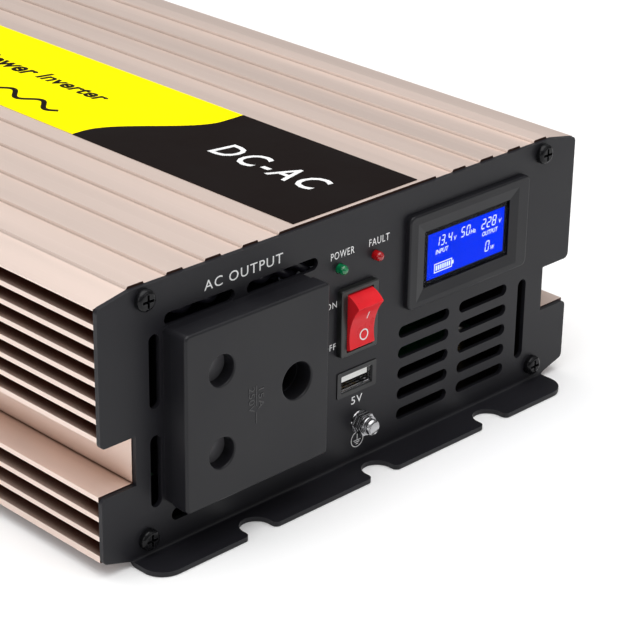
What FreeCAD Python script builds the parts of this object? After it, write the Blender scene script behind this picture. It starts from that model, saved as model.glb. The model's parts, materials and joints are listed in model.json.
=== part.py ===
import FreeCAD, Part
import math
import os

os.makedirs("parts", exist_ok=True)

V = FreeCAD.Vector

# ---------------------------------------------------------------------------
# Driving dimensions, in millimetres.  X runs to the right seen from the
# socket end, Y runs from the socket end to the battery end, Z is up.
# Z = 0 is the underside of the two foot flanges.
# ---------------------------------------------------------------------------

# Case
half_width = 97.4
deck_height = 83.5
case_length = 320.0
wall = 3.0
side_wall_x = 85.4
chamfer_inner_x = 86.0
chamfer_drop = 2.2
fin_thickness = 1.5
upper_fin_count = 8
upper_fin_top = 81.6
upper_fin_pitch = 5.56
lower_fin_count = 4
lower_fin_top = 24.5
lower_fin_pitch = 6.17
seam_height = lower_fin_top + fin_thickness / 2
floor_bottom = 1.6
floor_top = floor_bottom + wall
seam_gap = 0.2
seam_lip_height = 13.0
seam_play = 0.1

# Raised strips on the top deck, beside the plateau that carries the label
rib_height = 0.8
rib_width = 6.3
plateau_left = -30.7
plateau_right = 34.3
left_rib_pitch = 13.85
right_rib_pitch = 12.5
right_rib_gap = 6.8
rib_count = 4
label_left = -23.5
label_right = 27.3
label_length = 235.0
label_thickness = 0.2
label_setback = 1.5

# End panels and their foot flanges
panel_thickness = 1.5
panel_half_width = 97.4
panel_top = 83.6
panel_corner_radius = 1.8
panel_notch_x = 85.1
panel_notch_low = 24.9
panel_notch_high = 40.1
panel_side_low = 4.7
fold_half_width = 87.0
fold_inner_radius = 0.9
flange_reach = 11.7
flange_corner_radius = 7.0
foot_slot_radius = 5.0
foot_slot_center_x = 1.8
foot_slot_pitch = 50.0
foot_slot_inset = 3.0
foot_slot_lead_radius = 1.8

# Case screws
screw_x = 81.5
screw_high = 79.8
screw_low = 6.9
screw_shank_radius = 2.0
screw_head_radius = 3.2
screw_head_height = 2.3
screw_length = 12.0
boss_radius = 3.6
side_screw_height = 35.0
side_screw_first = 49.0
side_screw_count = 4
side_screw_pitch = 74.0
side_screw_radius = 1.5
side_screw_head_radius = 2.4
side_screw_head_height = 1.4
side_screw_length = 5.0

# Round-pin AC socket
socket_x = -48.0
socket_z = 42.6
socket_size = 54.4
socket_reach = 9.6
socket_corner_radius = 1.6
socket_rim_radius = 0.8
socket_frame_reach = 3.7
socket_body_size = 46.0
socket_body_depth = 26.0
contact_setback = 4.0
contact_lead = 2.0
contact_slit_half_width = 0.4
bore_inset = 0.3
socket_face_wall = 4.2
pin_column_x = -62.0
pin_center_z = 43.1
pin_spacing = 25.4
earth_offset = 28.6
line_hole_radius = 4.6
earth_hole_radius = 5.6
hole_lip_radius = 0.6
line_pin_radius = 3.53
earth_pin_radius = 4.36
shutter_thickness = 1.4
shutter_width = 11.4
shutter_height = 38.0
shutter_travel = 10.8
shutter_play = 0.2

# Rocker switch
switch_x = -0.5
switch_z = 49.4
switch_width = 15.3
switch_height = 21.6
switch_reach = 2.0
switch_body_width = 13.8
switch_body_height = 20.4
switch_depth = 17.0
switch_blade_width = 4.8
switch_blade_thickness = 0.8
switch_blade_length = 8.0
switch_blade_places = (-5.0, 2.0)
rocker_width = 10.2
rocker_radius = 9.17
rocker_ridge_angle = 52.5
rocker_tilt = 13.0
rocker_hollow = 1.7
rocker_pivot_depth = 0.6
rocker_play = 0.3
trunnion_radius = 1.5
trunnion_play = 0.06
trunnion_half_length = 6.4

# USB charging port
usb_x = 0.5
usb_z = 28.7
usb_width = 16.4
usb_height = 8.4
usb_shell_width = 13.2
usb_shell_height = 5.7
usb_shell_wall = 0.4
usb_depth = 14.0
usb_tongue_width = 11.0
usb_tongue_height = 1.8
usb_tongue_gap = 0.5
usb_tongue_setback = 1.0
usb_contact_width = 1.2
usb_contact_thickness = 0.3
usb_contact_places = (-3.5, -1.0, 1.0, 3.5)
usb_frame_depth = 5.0
usb_frame_reach = 0.3
usb_board_width = 18.0
usb_board_height = 14.0

# Indicator lamps
power_led_x = -7.5
fault_led_x = 7.3
led_z = 67.0
led_radius = 1.5
led_reach = 3.0
led_flange_radius = 1.9
led_flange_height = 3.0
lamp_board_margin = 4.0

# Display
display_left = 20.0
display_right = 74.0
display_low = 45.0
display_high = 75.4
display_reach = 2.0
display_corner_radius = 2.2
display_hole_width = 38.4
display_hole_height = 18.4
display_hole_x = 46.2
display_hole_z = 59.8
display_window_recess = 0.9
display_funnel_depth = 0.6
display_funnel_spread = 3.5
display_body_width = 48.0
display_body_height = 27.0
display_body_depth = 7.0
display_window_thickness = 0.5
display_module_gap = 0.1
display_module_thickness = 4.8
display_layer_margin = 1.4
display_board_margin = 4.0

# Ventilation slots in the front panel
vent_width = 3.9
vent_columns = ((29.7, 22.6), (56.6, 22.2))
vent_row_top = 37.9
vent_row_pitch = 6.9
vent_row_count = 5
side_vents = ((-78.0, 57.3, 22.4), (-78.0, 26.7, 22.4), (75.1, 25.0, 27.6))
level_vents = ((-61.4, 71.4, 25.8), (-30.2, 71.4, 27.6), (-58.6, 10.6, 27.8), (-28.2, 10.6, 27.4))
cutout_play = 0.15

# Ground terminal
ground_x = 2.0
ground_z = 14.2
ground_reach = 6.6
ground_nut_flats = 6.4
ground_nut_height = 3.0
ground_head_radius = 2.5
ground_head_height = 1.8
ground_dish_radius = 5.0
ground_dish_depth = 0.5
ground_shank_radius = 2.0
ground_shank_inside = 8.0
ground_washer_radius = 3.6
ground_washer_height = 0.8
lug_washer_radius = 2.9
lug_washer_height = 0.7
lug_washer_gap = 0.2

# Battery end: two fans and two screw terminals
fan_x = 49.0
fan_z = 42.6
fan_size = 60.0
fan_depth = 25.0
fan_duct_radius = 28.6
fan_blade_radius = 27.6
fan_hub_radius = 16.5
fan_blade_count = 7
fan_blade_pitch = 38.0
fan_shaft_radius = 2.0
fan_shaft_play = 0.05
fan_screw_offset = 25.0
fan_screw_radius = 1.8
fan_screw_head_radius = 3.2
fan_screw_head_height = 1.8
fan_screw_length = 18.0
fan_corner_radius = 3.0
fan_strut_depth = 2.5
fan_strut_width = 3.0
fan_strut_count = 3
fan_carrier_radius = 14.5
fan_shaft_length = 12.0
fan_rotor_setback = 3.5
fan_rotor_inset = 2.5
fan_blade_thickness = 1.2
fan_blade_chord = 18.0
guard_wire_radius = 0.9
guard_height = 4.0
guard_ring_radii = (10.0, 18.0, 26.0)
guard_lug_radius = 4.0
terminal_high_z = 58.0
terminal_low_z = 26.0
terminal_reach = 27.0
terminal_stud_radius = 4.0
terminal_stud_inside = 14.0
terminal_stud_setback = 3.0
terminal_base_size = 25.0
terminal_base_height = 7.0
terminal_base_corner = 3.0
terminal_recess_depth = 1.5
terminal_seat_radius = 9.0
terminal_seat_thickness = 1.8
terminal_cap_radius = 9.5
terminal_cap_lift = 1.2
terminal_cap_top = 2.5
terminal_cap_play = 0.05
terminal_groove_count = 12
terminal_groove_radius = 1.3
terminal_groove_offset = 0.6
terminal_groove_start = 3.0
terminal_spigot_radius = 7.0
terminal_spigot_depth = 4.0

# Inside the case
wire_radius = 1.6
lamp_wire_radius = 1.4
lamp_wire_pitch = 20.0
board_half_width = 78.5
board_thickness = 1.6
board_bottom = 12.0
board_front_gap = 18.0
board_rear_gap = 34.0
board_screw_inset_x = 5.0
board_screw_inset_y = 6.0
board_screw_radius = 1.6
board_screw_length = 7.0
board_screw_head_radius = 2.8
board_screw_head_height = 1.6
standoff_radius = 3.0
core_width = 48.0
core_height = 40.0
core_depth = 18.0
core_limb = 6.0
core_leg_width = 14.0
core_lift = 4.0
core_spacing = 54.0
core_offset = 10.0
winding_width = 34.0
winding_depth = 34.0
winding_clearance = 0.5
winding_corner_radius = 5.0
winding_play = 0.1
bus_can_radius = 15.0
bus_can_height = 46.0
bus_can_columns = (-6.0, 26.0, 58.0)
bus_can_setback = 40.0
input_can_radius = 8.0
input_can_height = 34.0
input_can_columns = (-45.0, -27.0, -9.0, 9.0, 27.0, 45.0)
input_can_setback = 15.0
transistor_count = 8
transistor_pitch = 22.0
transistor_first = 80.0
transistor_width = 10.0
transistor_height = 16.0
transistor_thickness = 4.5
transistor_lift = 8.0
transistor_leg_size = 1.0
transistor_leg_spacing = 2.5
clamp_thickness = 4.0
clamp_height = 8.0
clamp_lift = 13.0
clamp_overhang = 12.0
inductor_x = -49.0
inductor_setback = 54.0
inductor_radius = 16.0
inductor_wire_radius = 8.0
inductor_lift = 0.1
fuse_count = 6
fuse_pitch = 16.0
fuse_first_x = -40.0
fuse_setback = 40.0
fuse_width = 8.0
fuse_length = 16.0
fuse_height = 13.0
fuse_lift = 5.0
fuse_blade_spacing = 10.0
fuse_blade_thickness = 1.0
fuse_blade_width = 4.0
control_board_left = -36.0
control_board_right = 44.0
control_board_height = 44.0
control_board_setback = 84.0
chip_size = 10.0
chip_height = 8.0
chip_thickness = 1.6
chip_places = ((-22.0, 44.0), (-4.0, 44.0), (14.0, 44.0), (32.0, 44.0), (4.0, 28.0))
ac_wire_first_x = -62.0
ac_wire_pitch = 8.0
ac_wire_setback = 22.0
ac_wire_drop = 8.0
lamp_wire_setback = 14.0
lamp_wire_offset = 4.5
lamp_wire_wall_gap = 3.5
lamp_wire_rise_run = 20.0
lamp_wire_start_gap = 0.9
lamp_wire_end_dip = 1.2

# Derived planes along Y: the outer box is centred on Y = 0
total_length = flange_reach + 2 * panel_thickness + case_length + terminal_reach
front_y = flange_reach - total_length / 2
front_inner_y = front_y + panel_thickness
rear_inner_y = front_inner_y + case_length
rear_y = rear_inner_y + panel_thickness
inner_half_width = side_wall_x - wall
ceiling = deck_height - wall
guard_outer_y = rear_y + guard_height
board_top = board_bottom + board_thickness
board_front_y = front_inner_y + board_front_gap
board_rear_y = rear_inner_y - board_rear_gap
control_y = board_front_y + control_board_setback
transistor_wall_x = inner_half_width - seam_play - wall
display_center_x = (display_left + display_right) / 2
display_center_z = (display_low + display_high) / 2
display_window_y = front_y - display_reach + display_window_recess
eps = 0.02


# ---------------------------------------------------------------------------
# Small shape helpers
# ---------------------------------------------------------------------------

def save(name, shape):
    """Write one node."""
    shape.exportStep("parts/" + name + ".step")


def group(solids):
    """Keep separate solids together in one node."""
    return Part.makeCompound(solids)


def box(x0, x1, y0, y1, z0, z1):
    """Block between two corners."""
    return Part.makeBox(x1 - x0, y1 - y0, z1 - z0, V(x0, y0, z0))


def rod_y(x, z, radius, y0, y1):
    """Cylinder along Y."""
    return Part.makeCylinder(radius, y1 - y0, V(x, y0, z), V(0, 1, 0))


def rod_x(y, z, radius, x0, x1):
    """Cylinder along X."""
    return Part.makeCylinder(radius, x1 - x0, V(x0, y, z), V(1, 0, 0))


def rod_z(x, y, radius, z0, z1):
    """Cylinder along Z."""
    return Part.makeCylinder(radius, z1 - z0, V(x, y, z0))


def extrude_y(points, y0, y1):
    """Extrude a closed (x, z) outline along Y."""
    corners = [V(x, y0, z) for x, z in points]
    face = Part.Face(Part.makePolygon(corners + corners[:1]))
    return face.extrude(V(0, y1 - y0, 0))


def edges_along(shape, axis):
    """Straight edges of a shape that run along one axis."""
    found = []
    for edge in shape.Edges:
        if not isinstance(edge.Curve, Part.Line):
            continue
        if abs(edge.tangentAt(edge.FirstParameter).dot(axis)) > 0.99:
            found.append(edge)
    return found


def edges_at(shape, test):
    """Edges whose centre passes a test."""
    return [edge for edge in shape.Edges if test(edge.CenterOfMass)]


def rounded_block(x, z, width, height, radius, y0, y1):
    """Block along Y with its four long edges rounded."""
    block = box(x - width / 2, x + width / 2, y0, y1, z - height / 2, z + height / 2)
    return block.makeFillet(radius, edges_along(block, V(0, 1, 0)))


def pill(x, z, length, width, y0, y1):
    """Slot with round ends that runs along X."""
    run = length / 2 - width / 2
    middle = box(x - run, x + run, y0, y1, z - width / 2, z + width / 2)
    return middle.fuse([rod_y(x - run, z, width / 2, y0, y1), rod_y(x + run, z, width / 2, y0, y1)])


def upright_pill(x, z, length, width, y0, y1):
    """Slot with round ends that runs along Z."""
    run = length / 2 - width / 2
    middle = box(x - width / 2, x + width / 2, y0, y1, z - run, z + run)
    return middle.fuse([rod_y(x, z - run, width / 2, y0, y1), rod_y(x, z + run, width / 2, y0, y1)])


def mirrored_block(side, x0, x1, y0, y1, z0, z1):
    """Block between two distances from the middle plane, on one side of it."""
    return box(min(side * x0, side * x1), max(side * x0, side * x1), y0, y1, z0, z1)


def mirrored(points):
    """Complete a right-hand half outline with its left-hand mirror image."""
    return points + [(-x, z) for x, z in reversed(points)]


def pan_head_screw(head_radius, head_height, shank_radius, length):
    """Cross-recess screw along +Y, with the underside of its head at Y = 0."""
    head = Part.makeCylinder(head_radius, head_height, V(0, -head_height, 0), V(0, 1, 0))
    rim = edges_at(head, lambda c: c.y < -head_height + eps)
    head = head.makeFillet(head_height * 0.55, rim)
    arm = head_radius * 0.62
    half = head_radius * 0.13
    depth = head_height * 0.6
    recess = box(-arm, arm, -head_height - 1, depth - head_height, -half, half)
    recess = recess.fuse(box(-half, half, -head_height - 1, depth - head_height, -arm, arm))
    shank = Part.makeCylinder(shank_radius, length, V(0, 0, 0), V(0, 1, 0))
    return head.fuse(shank).cut(recess)


def placed(shape, x, y, z):
    """Copy of a shape moved to a place."""
    copy = shape.copy()
    copy.translate(V(x, y, z))
    return copy


def turned_about_z(shape):
    """Copy of a shape turned half a turn about the Z axis."""
    copy = shape.copy()
    copy.rotate(V(0, 0, 0), V(0, 0, 1), 180)
    return copy


def rounded_path(points, share):
    """Straight runs joined by tangent arcs that take up a share of the shorter run."""
    corners = [V(*p) for p in points]
    edges = []
    start = corners[0]
    for before, corner, after in zip(corners, corners[1:], corners[2:]):
        inward = (before - corner).normalize()
        outward = (after - corner).normalize()
        setback = share * min((before - corner).Length, (after - corner).Length)
        turn = math.pi - inward.getAngle(outward)
        bend = setback / math.tan(turn / 2)
        bisector = (inward + outward).normalize()
        center = corner + bisector * (bend / math.cos(turn / 2))
        first = corner + inward * setback
        last = corner + outward * setback
        middle = center - bisector * bend
        edges.append(Part.LineSegment(start, first).toShape())
        edges.append(Part.Arc(first, middle, last).toShape())
        start = last
    edges.append(Part.LineSegment(start, corners[-1]).toShape())
    return Part.Wire(edges)


def tube(points, radius):
    """Wire of round section along a rounded path."""
    path = rounded_path(points, 0.45)
    section = Part.Wire(Part.makeCircle(radius, V(*points[0]), V(*points[1]) - V(*points[0])))
    return path.makePipeShell([section], True, False)


def strand(centers, pitch, spacing, phase, radius):
    """One wire wound around a line of centres."""
    normal = V(0, 0, 1)
    travelled = 0
    places = []
    for here, ahead in zip(centers, centers[1:]):
        direction = (ahead - here).normalize()
        normal = (normal - direction * normal.dot(direction)).normalize()
        angle = phase + 2 * math.pi * travelled / pitch
        offset = normal * math.cos(angle) + direction.cross(normal) * math.sin(angle)
        places.append(here + offset * spacing)
        travelled += (ahead - here).Length
    curve = Part.BSplineCurve()
    curve.interpolate(places)
    section = Part.Wire(Part.makeCircle(radius, places[0], curve.tangent(curve.FirstParameter)[0]))
    return Part.Wire(curve.toShape()).makePipeShell([section], True, True)


def twisted_pair(points, radius, pitch):
    """Two insulated wires twisted about a rounded path."""
    path = rounded_path(points, 0.2)
    centers = path.discretize(Number=int(path.Length / pitch * 10))
    spacing = radius * 1.15
    return [strand(centers, pitch, spacing, phase, radius) for phase in (0, math.pi)]


# ---------------------------------------------------------------------------
# Case
# ---------------------------------------------------------------------------

def fin_side(count, top, pitch, root_x):
    """Outline of one side's fins, from the top fin down: tip, gap, tip."""
    points = []
    for index in range(count):
        middle = top - index * pitch
        if index > 0:
            points.append((root_x, middle + fin_thickness / 2))
            points.append((half_width, middle + fin_thickness / 2))
        points.append((half_width, middle - fin_thickness / 2))
        points.append((root_x, middle - fin_thickness / 2))
    return points


def screw_boss(z):
    """Two bosses that run the length of the case for the panel screws."""
    return [rod_y(side * screw_x, z, boss_radius, front_inner_y, rear_inner_y) for side in (-1, 1)]


def side_screw_places():
    """Y positions of the screws in the side recesses."""
    return [front_inner_y + side_screw_first + i * side_screw_pitch for i in range(side_screw_count)]


def strip_prism(x0, x1):
    """One raised strip of the deck, with sloping flanks."""
    slope = rib_height * 0.6
    root = deck_height - 0.5
    outline = [(x0, root), (x0, deck_height), (x0 + slope, deck_height + rib_height),
               (x1 - slope, deck_height + rib_height), (x1, deck_height), (x1, root)]
    return extrude_y(outline, front_inner_y, rear_inner_y)


def deck_strips():
    """X limits of the label plateau and the raised strips beside it."""
    strips = [(plateau_left, plateau_right)]
    for index in range(rib_count):
        left = plateau_left - (index + 1) * left_rib_pitch
        right = plateau_right + right_rib_gap + index * right_rib_pitch
        strips.append((left, left + rib_width))
        strips.append((right, right + rib_width))
    return strips


def pilot_holes(z):
    """Holes in both ends of the bosses for the panel screws."""
    holes = []
    for side in (-1, 1):
        x = side * screw_x
        holes.append(rod_y(x, z, screw_shank_radius, front_inner_y, front_inner_y + screw_length))
        holes.append(rod_y(x, z, screw_shank_radius, rear_inner_y - screw_length, rear_inner_y))
    return holes


def side_screw_holes():
    """Holes for the screws that join both housings, in both recess walls."""
    holes = []
    for side in (-1, 1):
        for y in side_screw_places():
            middle = side * (side_wall_x - wall)
            reach = side_screw_length
            holes.append(rod_x(y, side_screw_height, side_screw_radius, middle - reach, middle + reach))
    return holes


def upper_housing():
    """Finned upper extrusion: deck, raised strips, side fins and recess walls."""
    half = [(chamfer_inner_x, deck_height), (half_width, deck_height - chamfer_drop)]
    half += fin_side(upper_fin_count, upper_fin_top, upper_fin_pitch, side_wall_x)
    edge = seam_height + seam_gap
    half += [(side_wall_x, edge), (inner_half_width, edge), (inner_half_width, ceiling)]
    shell = extrude_y(mirrored(half), front_inner_y, rear_inner_y)
    shell = shell.fuse([strip_prism(x0, x1) for x0, x1 in deck_strips()])
    shell = shell.fuse(screw_boss(screw_high))
    return shell.cut(pilot_holes(screw_high) + side_screw_holes())


def lower_housing():
    """Finned lower extrusion: floor, four fins a side and a lip inside the seam."""
    lip_x = inner_half_width - seam_play
    half = [(lip_x, seam_height + seam_lip_height), (lip_x, seam_height)]
    half += fin_side(lower_fin_count, lower_fin_top, lower_fin_pitch, side_wall_x)[:-1]
    half[2:2] = [(half_width, seam_height)]
    half += [(half_width, panel_side_low), (fold_half_width, floor_bottom)]
    shell = extrude_y(mirrored(half), front_inner_y, rear_inner_y)
    inside = box(-lip_x + wall, lip_x - wall, front_inner_y, rear_inner_y, floor_top, seam_height * 2)
    shell = shell.cut(inside).fuse(screw_boss(screw_low))
    return shell.cut(pilot_holes(screw_low) + side_screw_holes())


def side_screws():
    """Screws in the side recesses, through the upper wall into the lip."""
    screw = pan_head_screw(side_screw_head_radius, side_screw_head_height, side_screw_radius,
                           side_screw_length)
    solids = []
    for side in (-1, 1):
        for y in side_screw_places():
            copy = screw.copy()
            copy.rotate(V(0, 0, 0), V(0, 0, 1), side * 90)
            solids.append(placed(copy, side * side_wall_x, y, side_screw_height))
    return group(solids)


def panel_screws(rear):
    """Four screws of one end panel."""
    screw = pan_head_screw(screw_head_radius, screw_head_height, screw_shank_radius, screw_length)
    y = front_y
    if rear:
        screw = turned_about_z(screw)
        y = rear_y
    places = [(side * screw_x, z) for side in (-1, 1) for z in (screw_low, screw_high)]
    return group([placed(screw, x, y, z) for x, z in places])


def deck_label():
    """Thin label on the plateau of the deck."""
    low = deck_height + rib_height
    y0 = front_inner_y + label_setback
    return box(label_left, label_right, y0, y0 + label_length, low, low + label_thickness)


# ---------------------------------------------------------------------------
# End panels
# ---------------------------------------------------------------------------

def panel_blank():
    """Sheet panel with its foot flange, outer face at Y = 0, facing -Y."""
    shoulder = panel_top - chamfer_drop
    half = [(chamfer_inner_x, panel_top), (panel_half_width, shoulder),
            (panel_half_width, panel_notch_high), (panel_notch_x, panel_notch_high),
            (panel_notch_x, panel_notch_low), (panel_half_width, panel_notch_low),
            (panel_half_width, panel_side_low), (fold_half_width, floor_bottom), (fold_half_width, 0)]
    plate = extrude_y(mirrored(half), 0, panel_thickness)
    corners = [e for e in edges_along(plate, V(0, 1, 0)) if abs(e.CenterOfMass.x) > panel_half_width - eps]
    plate = plate.makeFillet(panel_corner_radius, corners)
    foot = box(-fold_half_width, fold_half_width, -flange_reach, panel_thickness, 0, panel_thickness)
    foot = foot.makeFillet(flange_corner_radius, edges_at(foot, lambda c: c.y < eps - flange_reach
                                                          and abs(c.x) > fold_half_width - eps))
    panel = plate.fuse(foot).removeSplitter()
    outer = edges_at(panel, lambda c: c.y > panel_thickness - eps and c.z < eps)
    panel = panel.makeFillet(fold_inner_radius + panel_thickness - eps, outer)
    inner = edges_at(panel, lambda c: abs(c.y) < eps and abs(c.z - panel_thickness) < eps)
    panel = panel.makeFillet(fold_inner_radius, inner)
    return panel.cut(foot_slots())


def foot_slots():
    """Three open slots in the foot flange, with eased corners at the mouth."""
    cutters = []
    y = foot_slot_inset - flange_reach
    for index in (-1, 0, 1):
        x = foot_slot_center_x + index * foot_slot_pitch
        cutter = rod_z(x, y, foot_slot_radius, -1, panel_thickness + 1)
        mouth = box(x - foot_slot_radius, x + foot_slot_radius, -flange_reach - 1, y, -1, panel_thickness + 1)
        cutters.append(cutter.fuse(mouth).removeSplitter())
        cutters.extend(mouth_eases(x))
    return cutters


def mouth_eases(x):
    """Corner pieces that round both sides of a foot slot's mouth."""
    pieces = []
    ease = foot_slot_lead_radius
    for side in (-1, 1):
        edge = x + side * foot_slot_radius
        far = edge + side * ease
        block = box(min(edge, far), max(edge, far), -flange_reach - 1, ease - flange_reach,
                    -1, panel_thickness + 1)
        pieces.append(block.cut(rod_z(far, ease - flange_reach, ease, -2, panel_thickness + 2)))
    return pieces


def screw_clearance_holes():
    """Holes for the four panel screws."""
    radius = screw_shank_radius + 0.2
    return [rod_y(side * screw_x, z, radius, -1, panel_thickness + 1)
            for side in (-1, 1) for z in (screw_low, screw_high)]


def front_panel():
    """Panel at the socket end, with its cut-outs and ventilation slots."""
    y0 = -1
    y1 = panel_thickness + 1
    play = 2 * cutout_play
    half = socket_body_size / 2 + cutout_play
    cuts = screw_clearance_holes()
    cuts.append(box(socket_x - half, socket_x + half, y0, y1, socket_z - half, socket_z + half))
    cuts.append(rounded_block(display_center_x, display_center_z, display_body_width + play,
                              display_body_height + play, 1.0, y0, y1))
    cuts.append(rounded_block(switch_x, switch_z, switch_body_width + play, switch_body_height + play,
                              0.5, y0, y1))
    cuts.append(rounded_block(usb_x, usb_z, usb_width + play, usb_height + play, 0.6, y0, y1))
    cuts.append(rod_y(power_led_x, led_z, led_radius + cutout_play, y0, y1))
    cuts.append(rod_y(fault_led_x, led_z, led_radius + cutout_play, y0, y1))
    cuts.append(rod_y(ground_x, ground_z, ground_shank_radius + cutout_play, y0, y1))
    for x, length in vent_columns:
        for row in range(vent_row_count):
            cuts.append(pill(x, vent_row_top - row * vent_row_pitch, length, vent_width, y0, y1))
    for x, z, length in side_vents:
        cuts.append(upright_pill(x, z, length, vent_width, y0, y1))
    for x, z, length in level_vents:
        cuts.append(pill(x, z, length, vent_width, y0, y1))
    return placed(panel_blank().cut(cuts), 0, front_y, 0)


def rear_panel():
    """Panel at the battery end, with fan openings and terminal holes."""
    y0 = -1
    y1 = panel_thickness + 1
    cuts = screw_clearance_holes()
    for side in (-1, 1):
        cuts.append(rod_y(side * fan_x, fan_z, fan_duct_radius, y0, y1))
        for dx in (-1, 1):
            for dz in (-1, 1):
                cuts.append(rod_y(side * fan_x + dx * fan_screw_offset, fan_z + dz * fan_screw_offset,
                                  fan_screw_radius, y0, y1))
    for z in (terminal_high_z, terminal_low_z):
        cuts.append(rod_y(0, z, terminal_spigot_radius + cutout_play, y0, y1))
    return placed(turned_about_z(panel_blank().cut(cuts)), 0, rear_y, 0)


# ---------------------------------------------------------------------------
# AC socket with three round pins, laid on its side
# ---------------------------------------------------------------------------

def pin_places():
    """Hole centres and radii: two line pins in a column, the earth pin beside them."""
    return [(pin_column_x, pin_center_z + pin_spacing / 2, line_hole_radius),
            (pin_column_x, pin_center_z - pin_spacing / 2, line_hole_radius),
            (pin_column_x + earth_offset, pin_center_z, earth_hole_radius)]


def socket_face():
    """Front block of the socket, with lipped holes and a pocket for the shutter."""
    y0 = front_y - socket_reach
    y1 = front_y - socket_frame_reach
    block = rounded_block(socket_x, socket_z, socket_size, socket_size, socket_corner_radius, y0, y1)
    rim = edges_at(block, lambda c: c.y < y0 + eps)
    block = block.makeFillet(socket_rim_radius, rim)
    block = block.cut([rod_y(x, z, radius, y0 - 1, y1 + 1) for x, z, radius in pin_places()])
    lips = [e for e in block.Edges if e.CenterOfMass.y < y0 + eps and isinstance(e.Curve, Part.Circle)
            and e.Curve.Radius > line_hole_radius - eps]
    block = block.makeFillet(hole_lip_radius, lips)
    return block.cut(shutter_pocket(y0 + socket_face_wall, y1))


def shutter_pocket(y0, y1):
    """Space in the back of the face block in which the shutter slides."""
    x0 = pin_column_x - shutter_width / 2 - shutter_play
    x1 = pin_column_x + shutter_width / 2 + shutter_travel + shutter_play
    half = shutter_height / 2 + shutter_play
    return box(x0, x1, y0, y1, pin_center_z - half, pin_center_z + half)


def socket_shutter():
    """Plate that closes both line holes and slides towards the earth hole."""
    y0 = front_y - socket_reach + socket_face_wall + shutter_play
    half = shutter_height / 2
    return box(pin_column_x - shutter_width / 2, pin_column_x + shutter_width / 2, y0, y0 + shutter_thickness,
               pin_center_z - half, pin_center_z + half)


def socket_base():
    """Frame on the panel and the body behind it, bored for the pins and contacts."""
    y0 = front_y - socket_frame_reach
    size = socket_size - 0.6
    frame = rounded_block(socket_x, socket_z, size, size, socket_corner_radius, y0, front_y)
    half = socket_body_size / 2
    body = box(socket_x - half, socket_x + half, front_y, front_y + socket_body_depth,
               socket_z - half, socket_z + half)
    base = frame.fuse(body)
    bores = []
    for x, z, radius in pin_places():
        bores.append(rod_y(x, z, radius - bore_inset, y0 - 1, front_y + socket_body_depth - contact_setback))
        bores.append(rod_y(x, z, wire_radius, front_y, front_y + socket_body_depth + 1))
    return base.cut(bores)


def contact_sleeve(place, pin_radius):
    """Split brass sleeve that grips one pin, with its solder tail."""
    x, z, hole_radius = place
    y0 = front_y + contact_lead
    y1 = front_y + socket_body_depth - contact_setback
    outer = hole_radius - bore_inset
    sleeve = rod_y(x, z, outer, y0, y1).cut(rod_y(x, z, pin_radius, y0 - 1, y1 - 2))
    half = contact_slit_half_width
    slit = box(x - half, x + half, y0 - 1, y1 - 4, z - outer - 1, z + outer + 1)
    return sleeve.cut(slit)


# ---------------------------------------------------------------------------
# Rocker switch
# ---------------------------------------------------------------------------

def switch_frame():
    """Bezel and open body of the rocker switch."""
    y0 = front_y - switch_reach
    bezel = rounded_block(switch_x, switch_z, switch_width, switch_height, 0.8, y0, front_y)
    bezel = bezel.makeFillet(0.5, edges_at(bezel, lambda c: c.y < y0 + eps))
    body = box(switch_x - switch_body_width / 2, switch_x + switch_body_width / 2, front_y,
               front_y + switch_depth, switch_z - switch_body_height / 2, switch_z + switch_body_height / 2)
    half_x = rocker_width / 2 + rocker_play
    half_z = rocker_radius + rocker_play
    cavity = box(switch_x - half_x, switch_x + half_x, y0 - 1, front_y + switch_depth - 4,
                 switch_z - half_z, switch_z + half_z)
    pivot_y = front_y + rocker_pivot_depth
    reach = trunnion_half_length + 0.2
    hole = rod_x(pivot_y, switch_z, trunnion_radius + trunnion_play, switch_x - reach, switch_x + reach)
    return bezel.fuse(body).cut([cavity, hole])


def switch_rocker():
    """Rocker seen from the side as a sector with a hollow front, at rest on O."""
    ridge = math.radians(rocker_ridge_angle)
    back = math.radians(100)
    high = V(0, -rocker_radius * math.cos(ridge), rocker_radius * math.sin(ridge))
    low = V(0, high.y, -high.z)
    hollow = V(0, high.y + rocker_hollow, 0)
    high_back = V(0, -rocker_radius * math.cos(back), rocker_radius * math.sin(back))
    low_back = V(0, high_back.y, -high_back.z)
    side = (ridge + back) / 2
    high_side = V(0, -rocker_radius * math.cos(side), rocker_radius * math.sin(side))
    low_side = V(0, high_side.y, -high_side.z)
    edges = [Part.Arc(low, hollow, high).toShape(), Part.Arc(high, high_side, high_back).toShape(),
             Part.LineSegment(high_back, low_back).toShape(), Part.Arc(low_back, low_side, low).toShape()]
    rocker = Part.Face(Part.Wire(edges)).extrude(V(rocker_width, 0, 0))
    rocker.translate(V(-rocker_width / 2, 0, 0))
    ridges = edges_at(rocker, lambda c: c.y < high.y + eps and abs(c.x) < eps)
    rocker = rocker.makeFillet(0.5, ridges)
    pin = rod_x(0, 0, trunnion_radius, -trunnion_half_length, trunnion_half_length)
    rocker = rocker.fuse(pin)
    rocker.rotate(V(0, 0, 0), V(1, 0, 0), rocker_tilt)
    return placed(rocker, switch_x, front_y + rocker_pivot_depth, switch_z)


def switch_terminals():
    """Two blade terminals behind the switch."""
    y0 = front_y + switch_depth
    half_x = switch_blade_width / 2
    half_z = switch_blade_thickness / 2
    return group([box(switch_x - half_x, switch_x + half_x, y0, y0 + switch_blade_length,
                      switch_z + place - half_z, switch_z + place + half_z) for place in switch_blade_places])


# ---------------------------------------------------------------------------
# USB port, lamps and display
# ---------------------------------------------------------------------------

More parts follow.
